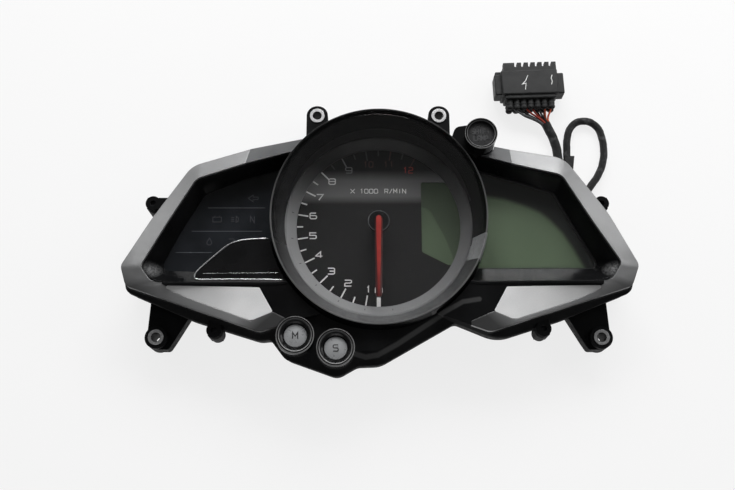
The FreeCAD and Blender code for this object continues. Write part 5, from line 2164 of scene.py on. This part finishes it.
# Windows
@dataclass
class TellTales:
    """The dividing lines and the dim symbols of the left window.

    A line is given by its height and its two ends.
    """

    level: float = 22.2
    thickness: float = 0.06
    dividers: tuple[Point, ...] = ((10.3, -89.6, -59.6), (-2.5, -97.4, -60.8), (-14.0, -105.1, -86.4))
    divider_width: float = 0.34
    symbol_line: float = 0.45
    lamp_size: Flat = (1.2, 1.6)
    drop_radius: float = 1.3
    drop_shift: float = -0.4

    def symbols(self) -> dict[Flat, tuple[tuple[Flat, ...], ...]]:
        """The symbols: an arrow, a headlamp, an N, a battery, a drop and a stand.

        Returns:
            Each symbol's outlines, by its middle.
        """
        wide, high = self.lamp_size
        turns = map(math.radians, range(-90, 91, 30))
        lamp = tuple((wide * math.cos(a), high * math.sin(a)) for a in turns)
        drop = tuple(
            (self.drop_radius * math.cos(a), self.drop_radius * math.sin(a) + self.drop_shift)
            for a in map(math.radians, range(130, 411, 35))
        )
        return {
            (-66.0, 15.6): (
                ((2.6, 0.7), (0, 0.7), (0, 1.8), (-2.6, 0), (0, -1.8), (0, -0.7), (2.6, -0.7), (2.6, 0.7)),
            ),
            (-74.5, 4.0): (
                (*lamp, (0, -1.6)),
                ((-1.0, 1.0), (-2.6, 1.0)), ((-1.0, 0), (-2.6, 0)), ((-1.0, -1.0), (-2.6, -1.0)),
            ),
            (-66.0, 4.0): (((-1.0, -1.6), (-1.0, 1.6), (1.0, -1.6), (1.0, 1.6)),),
            (-84.5, 4.0): (
                ((-2.2, -1.4), (2.2, -1.4), (2.2, 1.2), (-2.2, 1.2), (-2.2, -1.4)),
                ((-1.2, 1.3), (-1.2, 2.0)), ((1.2, 1.3), (1.2, 2.0)),
            ),
            (-88.0, -8.3): ((*drop, (0, 2.1), drop[0]),),
            (-76.0, -8.3): (((-2.0, 1.6), (0.6, 1.6), (2.0, -1.6)), ((-0.6, -1.6), (2.4, -1.6))),
        }

    def build(self) -> None:
        """Prints the lines and the symbols."""
        lines, symbols = Shape(), Shape()
        top = self.level + self.thickness
        for y, left, right in self.dividers:
            lines.stroke([(left, y), (right, y)], self.divider_width, self.level, top)
        piece("panel_lines", lines.mesh("panel_lines"), PRINT_LINE)
        for (x, y), paths in self.symbols().items():
            for path in paths:
                symbols.stroke([(x + u, y + v) for u, v in path], self.symbol_line, self.level, top)
        piece("panel_symbols", symbols.mesh("panel_symbols"), PRINT_ICON)


@dataclass
class DisplayShade:
    """A painted shadow laid on the display: a dark sheet with a soft inner edge."""

    name: str
    near: tuple[Flat, ...]
    far: tuple[Flat, ...]
    strength: float = 1.0
    softness: float = 3.0
    least_span: float = 1.2
    shares: tuple[float, ...] = (0, 0.25, 0.5, 0.75, 1)
    tones: tuple[float, ...] = (0.0, 0.16, 0.5, 0.84, 1.0, 1.0)
    level: float = 20.6
    thickness: float = 0.08

    def build(self) -> None:
        """Lays the painted shadow on the display."""
        shape = Shape()
        rows = []
        top = self.level + self.thickness
        for near, far in zip(self.near, self.far):
            span = max((Vector(far) - Vector(near)).length, self.softness * self.least_span)
            places = [Vector(near).lerp(Vector(far), share * self.softness / span) for share in self.shares]
            upper = [(p.x, p.y, top) for p in places] + [(*far, top)]
            row = [(*near, self.level), *upper, (*far, self.level)]
            tones = [tone * self.strength for tone in self.tones]
            rows.append(shape.row(row, [0.0, *tones, self.strength]))
        shape.skin(rows)
        shape.cap(rows, turned=True)
        border = LiquidCrystal("liquid_crystal_border", True)
        piece(self.name, shape.mesh(self.name, attribute="shade"), border)


# Painted shadows on the right display and on the display seen in the dial.
WINDOW_SHADE = DisplayShade(
    "window_shade",
    (
        (50.0, 16.4), (58.2, 15.6), (65.6, 14.3), (75.4, 10.9), (84.2, 6.9), (89.8, 2.2), (95.4, -4.3),
        (100.8, -13.5), (106.1, -24.0),
    ),
    (
        (50.0, 32.0), (60.5, 31.5), (69.0, 29.6), (80.5, 26.2), (91.5, 22.0), (96.5, 16.0), (102.0, 6.5),
        (107.5, -5.0), (116.5, -24.0),
    ),
)
DIAL_SHADE = DisplayShade(
    "dial_shade",
    ((21.5, 10.8), (24.5, 10.4), (27.1, 8.6), (30.2, 2.3), (34.4, -6.1), (37.8, -15.6), (39.0, -21.0)),
    ((21.5, 26.0), (30.0, 26.0), (38.0, 26.0), (45.0, 18.0), (49.0, 2.0), (49.0, -12.0), (49.0, -21.0)),
    0.42, 1.2,
)


@dataclass
class DeckBeads:
    """Painted highlights: bright silver beads along the deck under the tell-tales, where its rounded edges
    catch the light, each with its radius and route.
    """

    routes: tuple[tuple[str, float, tuple[Point, ...]], ...] = (
        ("deck_upper_bead", 0.30, (
            (-92.7, -30.2, 33.5), (-92.9, -28.4, 33.6), (-90.0, -24.9, 33.6), (-83.5, -18.9, 33.6),
            (-77.3, -13.3, 33.6), (-73.6, -11.4, 33.6), (-67.0, -9.9, 33.6), (-56.9, -9.6, 33.6),
        )),
        ("deck_lower_bead", 0.34, (
            (-92.3, -30.6, 33.4), (-91.2, -31.2, 33.5), (-83.0, -31.0, 33.6), (-66.0, -31.0, 33.6),
            (-48.2, -31.2, 33.6),
        )),
        ("deck_inner_bead", 0.09, ((-88.4, -28.0, 33.6), (-70.0, -27.8, 33.6), (-50.4, -27.6, 33.6))),
    )
    spacing: float = 0.5
    sides: int = 12

    def build(self) -> None:
        """Lays the beads."""
        for name, radius, route in self.routes:
            places = [tuple(c * MM for c in place) for place in route]
            line = centre_line(name + "_line", places, self.spacing)
            piece(name, tube_mesh(name, line, radius, self.sides), HIGHLIGHT_SILVER)


# Buttons and shift lamp
@dataclass
class PushButton:
    """A domed silver cap with one letter, in its glossy collar.

    The collar's profile is given by radius, level and the corner's own rounding.
    """

    name: str
    letter: str
    body: Body
    place: Flat
    collar_finish: Finish
    cap_radius: float = 5.88
    cap_rounding: float = 0.5
    skirt: float = 27.4
    rim_level: float = 30.4
    stem: float = 2.0
    stem_low: float = 16.0
    dome: float = 0.55
    dome_steps: int = 8
    letter_size: Flat = (3.1, 2.5)
    letter_line: float = 0.55
    letter_depth: float = 0.14
    letter_thickness: float = 0.19
    collar_profile: tuple[Point, ...] = (
        (6.3, 27.0, 0), (8.4, 27.0, 0), (8.4, 29.0, 0), (9.7, 29.0, 0), (9.7, 33.4, 0.9),
        (8.1, 33.4, 0.35), (7.7, 32.5, 0.2), (7.35, 31.5, 0.3), (6.3, 30.8, 0.2),
    )
    collar_steps: int = 120

    def cap(self) -> None:
        """Turns the cap."""
        top, edge = self.rim_level, self.cap_rounding
        inner = self.cap_radius - edge
        profile = [(0.0, self.stem_low), (self.stem, self.stem_low), (self.stem, self.skirt)]
        profile += [(self.cap_radius, self.skirt), (self.cap_radius, top - edge)]
        profile += [
            (self.cap_radius - edge * (1 - math.cos(a)), top - edge + edge * math.sin(a))
            for a in map(math.radians, range(15, 91, 15))
        ]
        for i in range(1, self.dome_steps + 1):
            share = i / self.dome_steps
            profile.append((inner * (1 - share), top + self.dome * math.sin(math.pi / 2 * share)))
        shape = Shape()
        shape.lathe(profile, self.place)
        name = f"{self.name}_cap"
        piece(name, shape.mesh(name, 30), BUTTON_SILVER, (f"{self.name}_button",), self.body)

    def print_letter(self) -> None:
        """Prints the letter on the dome."""
        level = self.rim_level + self.dome - self.letter_depth
        shape = Shape()
        ink = Lettering(*self.letter_size, self.letter_line, level, thickness=self.letter_thickness)
        ink.write(shape, self.letter, self.place)
        name = f"{self.name}_letter"
        piece(name, shape.mesh(name), PRINT_DARK, body=self.body)

    def collar(self) -> None:
        """Turns the collar with its rounded rim and inner lip."""
        shape = Shape()
        shape.lathe(rounded(self.collar_profile), self.place, self.collar_steps)
        name = f"{self.name}_collar"
        piece(name, shape.mesh(name, 30), self.collar_finish, (f"{self.name}_button_collar",))

    def build(self) -> None:
        """Builds the cap with its letter and the collar."""
        self.cap()
        self.print_letter()
        self.collar()


@dataclass
class ShiftLampPrint:
    """The two words under the smoked lens, each with its shift from the lamp's middle."""

    centre: Flat = LAMP_PLACE
    words: tuple[tuple[str, float], ...] = (("SHIFT", 1.9), ("LAMP", -1.9))
    letters: Lettering = Lettering(2.5, 1.45, 0.5, 43.2, 0.32)

    def build(self) -> None:
        """Prints the words."""
        shape = Shape()
        for word, shift in self.words:
            self.letters.write(shape, word, (self.centre[0], self.centre[1] + shift))
        piece("lamp_words", shape.mesh("lamp_words"), LAMP_PRINT)


# Carried-over nodes
class Dressing:
    """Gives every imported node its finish."""

    def table(self) -> dict[Finish, tuple[str, ...]]:
        """The nodes of each finish.

        Returns:
            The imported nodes' names, by their finish.
        """
        return {
            CoverPlastic(): ("front_cover",),
            WindowPlastic(): ("left_window_surround", "right_window_surround"),
            GLOSS_BLACK: ("tell_tale_deck", "tachometer_hood"),
            MODE_COLLAR: ("mode_button_collar",),
            SET_COLLAR: ("set_button_collar",),
            LAMP_BLACK: ("shift_lamp_housing",),
            HOUSING_BLACK: ("rear_housing",),
            SATIN_SILVER: ("left_wing_trim", "right_wing_trim"),
            DARK_SILVER: ("left_upper_strip", "right_upper_strip"),
            BRIGHT_SILVER: ("left_lower_insert", "right_lower_insert"),
            BUTTON_SILVER: ("mode_button", "set_button"),
            Pane("clear_window"): ("left_window_lens", "right_window_lens", "tachometer_glass"),
            LampLens(): ("shift_lamp_lens",),
            DialFace(): ("dial_plate",),
            RingPaint(): ("chapter_ring",),
            NeedleRed(): ("needle",),
            CapPlastic(): ("needle_cap",),
            INNER_BLACK: (
                "stepper_motor", "display_mask", "mode_switch_plunger", "set_switch_plunger",
                "button_switches",
            ),
            STEEL: ("needle_spindle", "board_screws"),
            BLACK_ZINC: ("housing_screws",),
            UPPER_SLEEVE: ("upper_mount_sleeves",),
            LOWER_SLEEVE: ("lower_mount_sleeves",),
            BRASS: ("connector_terminals",),
            ACRYLIC: ("dial_light_guide", "display_light_guide"),
            LiquidCrystal(): ("display_glass",),
            WHITE_PLASTIC: ("display_holder", "tell_tale_light_box", "board_header"),
            PANEL_BLUE: ("tell_tale_panel",),
            BoardGreen(): ("circuit_board", "shift_lamp_board"),
            CHIP_BLACK: ("controller_chips", "power_regulator"),
            LED_YELLOW: ("dial_lights", "tell_tale_lights", "shift_lamp_light"),
            CAN_METAL: ("smoothing_capacitors",),
            RUBBER: ("button_seals", "cable_boot", "housing_seal", "cable_grommet"),
            ClothTape(): ("harness_loop", "harness_lead"),
            WIRE_BLACK: ("harness_wires",),
            PLUG_GREY: ("connector_housing", "connector_lock"),
        }

    def build(self) -> None:
        """Dresses the nodes and stops if one is left plain."""
        dressed: set[str] = set()
        for finish, nodes in self.table().items():
            for name in nodes:
                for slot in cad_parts[name].material_slots:
                    slot.material = look(finish)
                dressed.add(name)
        plain = sorted(set(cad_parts) - dressed)
        if plain:
            raise RuntimeError(f"no finish for {plain}")
        LOG.info("dressed %d nodes", len(dressed))


def corners(box: tuple[Vector, Vector]) -> list[list[float]]:
    """A box's corners as plain lists."""
    return [[float(c) for c in corner] for corner in box]


def main() -> None:
    """Builds the scene in order."""
    logging.basicConfig(level=logging.INFO, format="%(name)s: %(message)s")
    packed = corners(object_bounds())
    Studio().build()
    Harness().build()
    Dressing().build()
    DialPrint().build()
    RingDashes().build()
    Needle().build()
    Hood().build()
    TellTales().build()
    WINDOW_SHADE.build()
    DIAL_SHADE.build()
    DeckBeads().build()
    PushButton("mode", "M", Body.MODE, MODE_PLACE, MODE_COLLAR).build()
    PushButton("set", "S", Body.SET, SET_PLACE, SET_COLLAR).build()
    ShiftLampPrint().build()
    {"cad": packed, "visual": corners(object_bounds())}


if __name__ == "__main__":
    main()
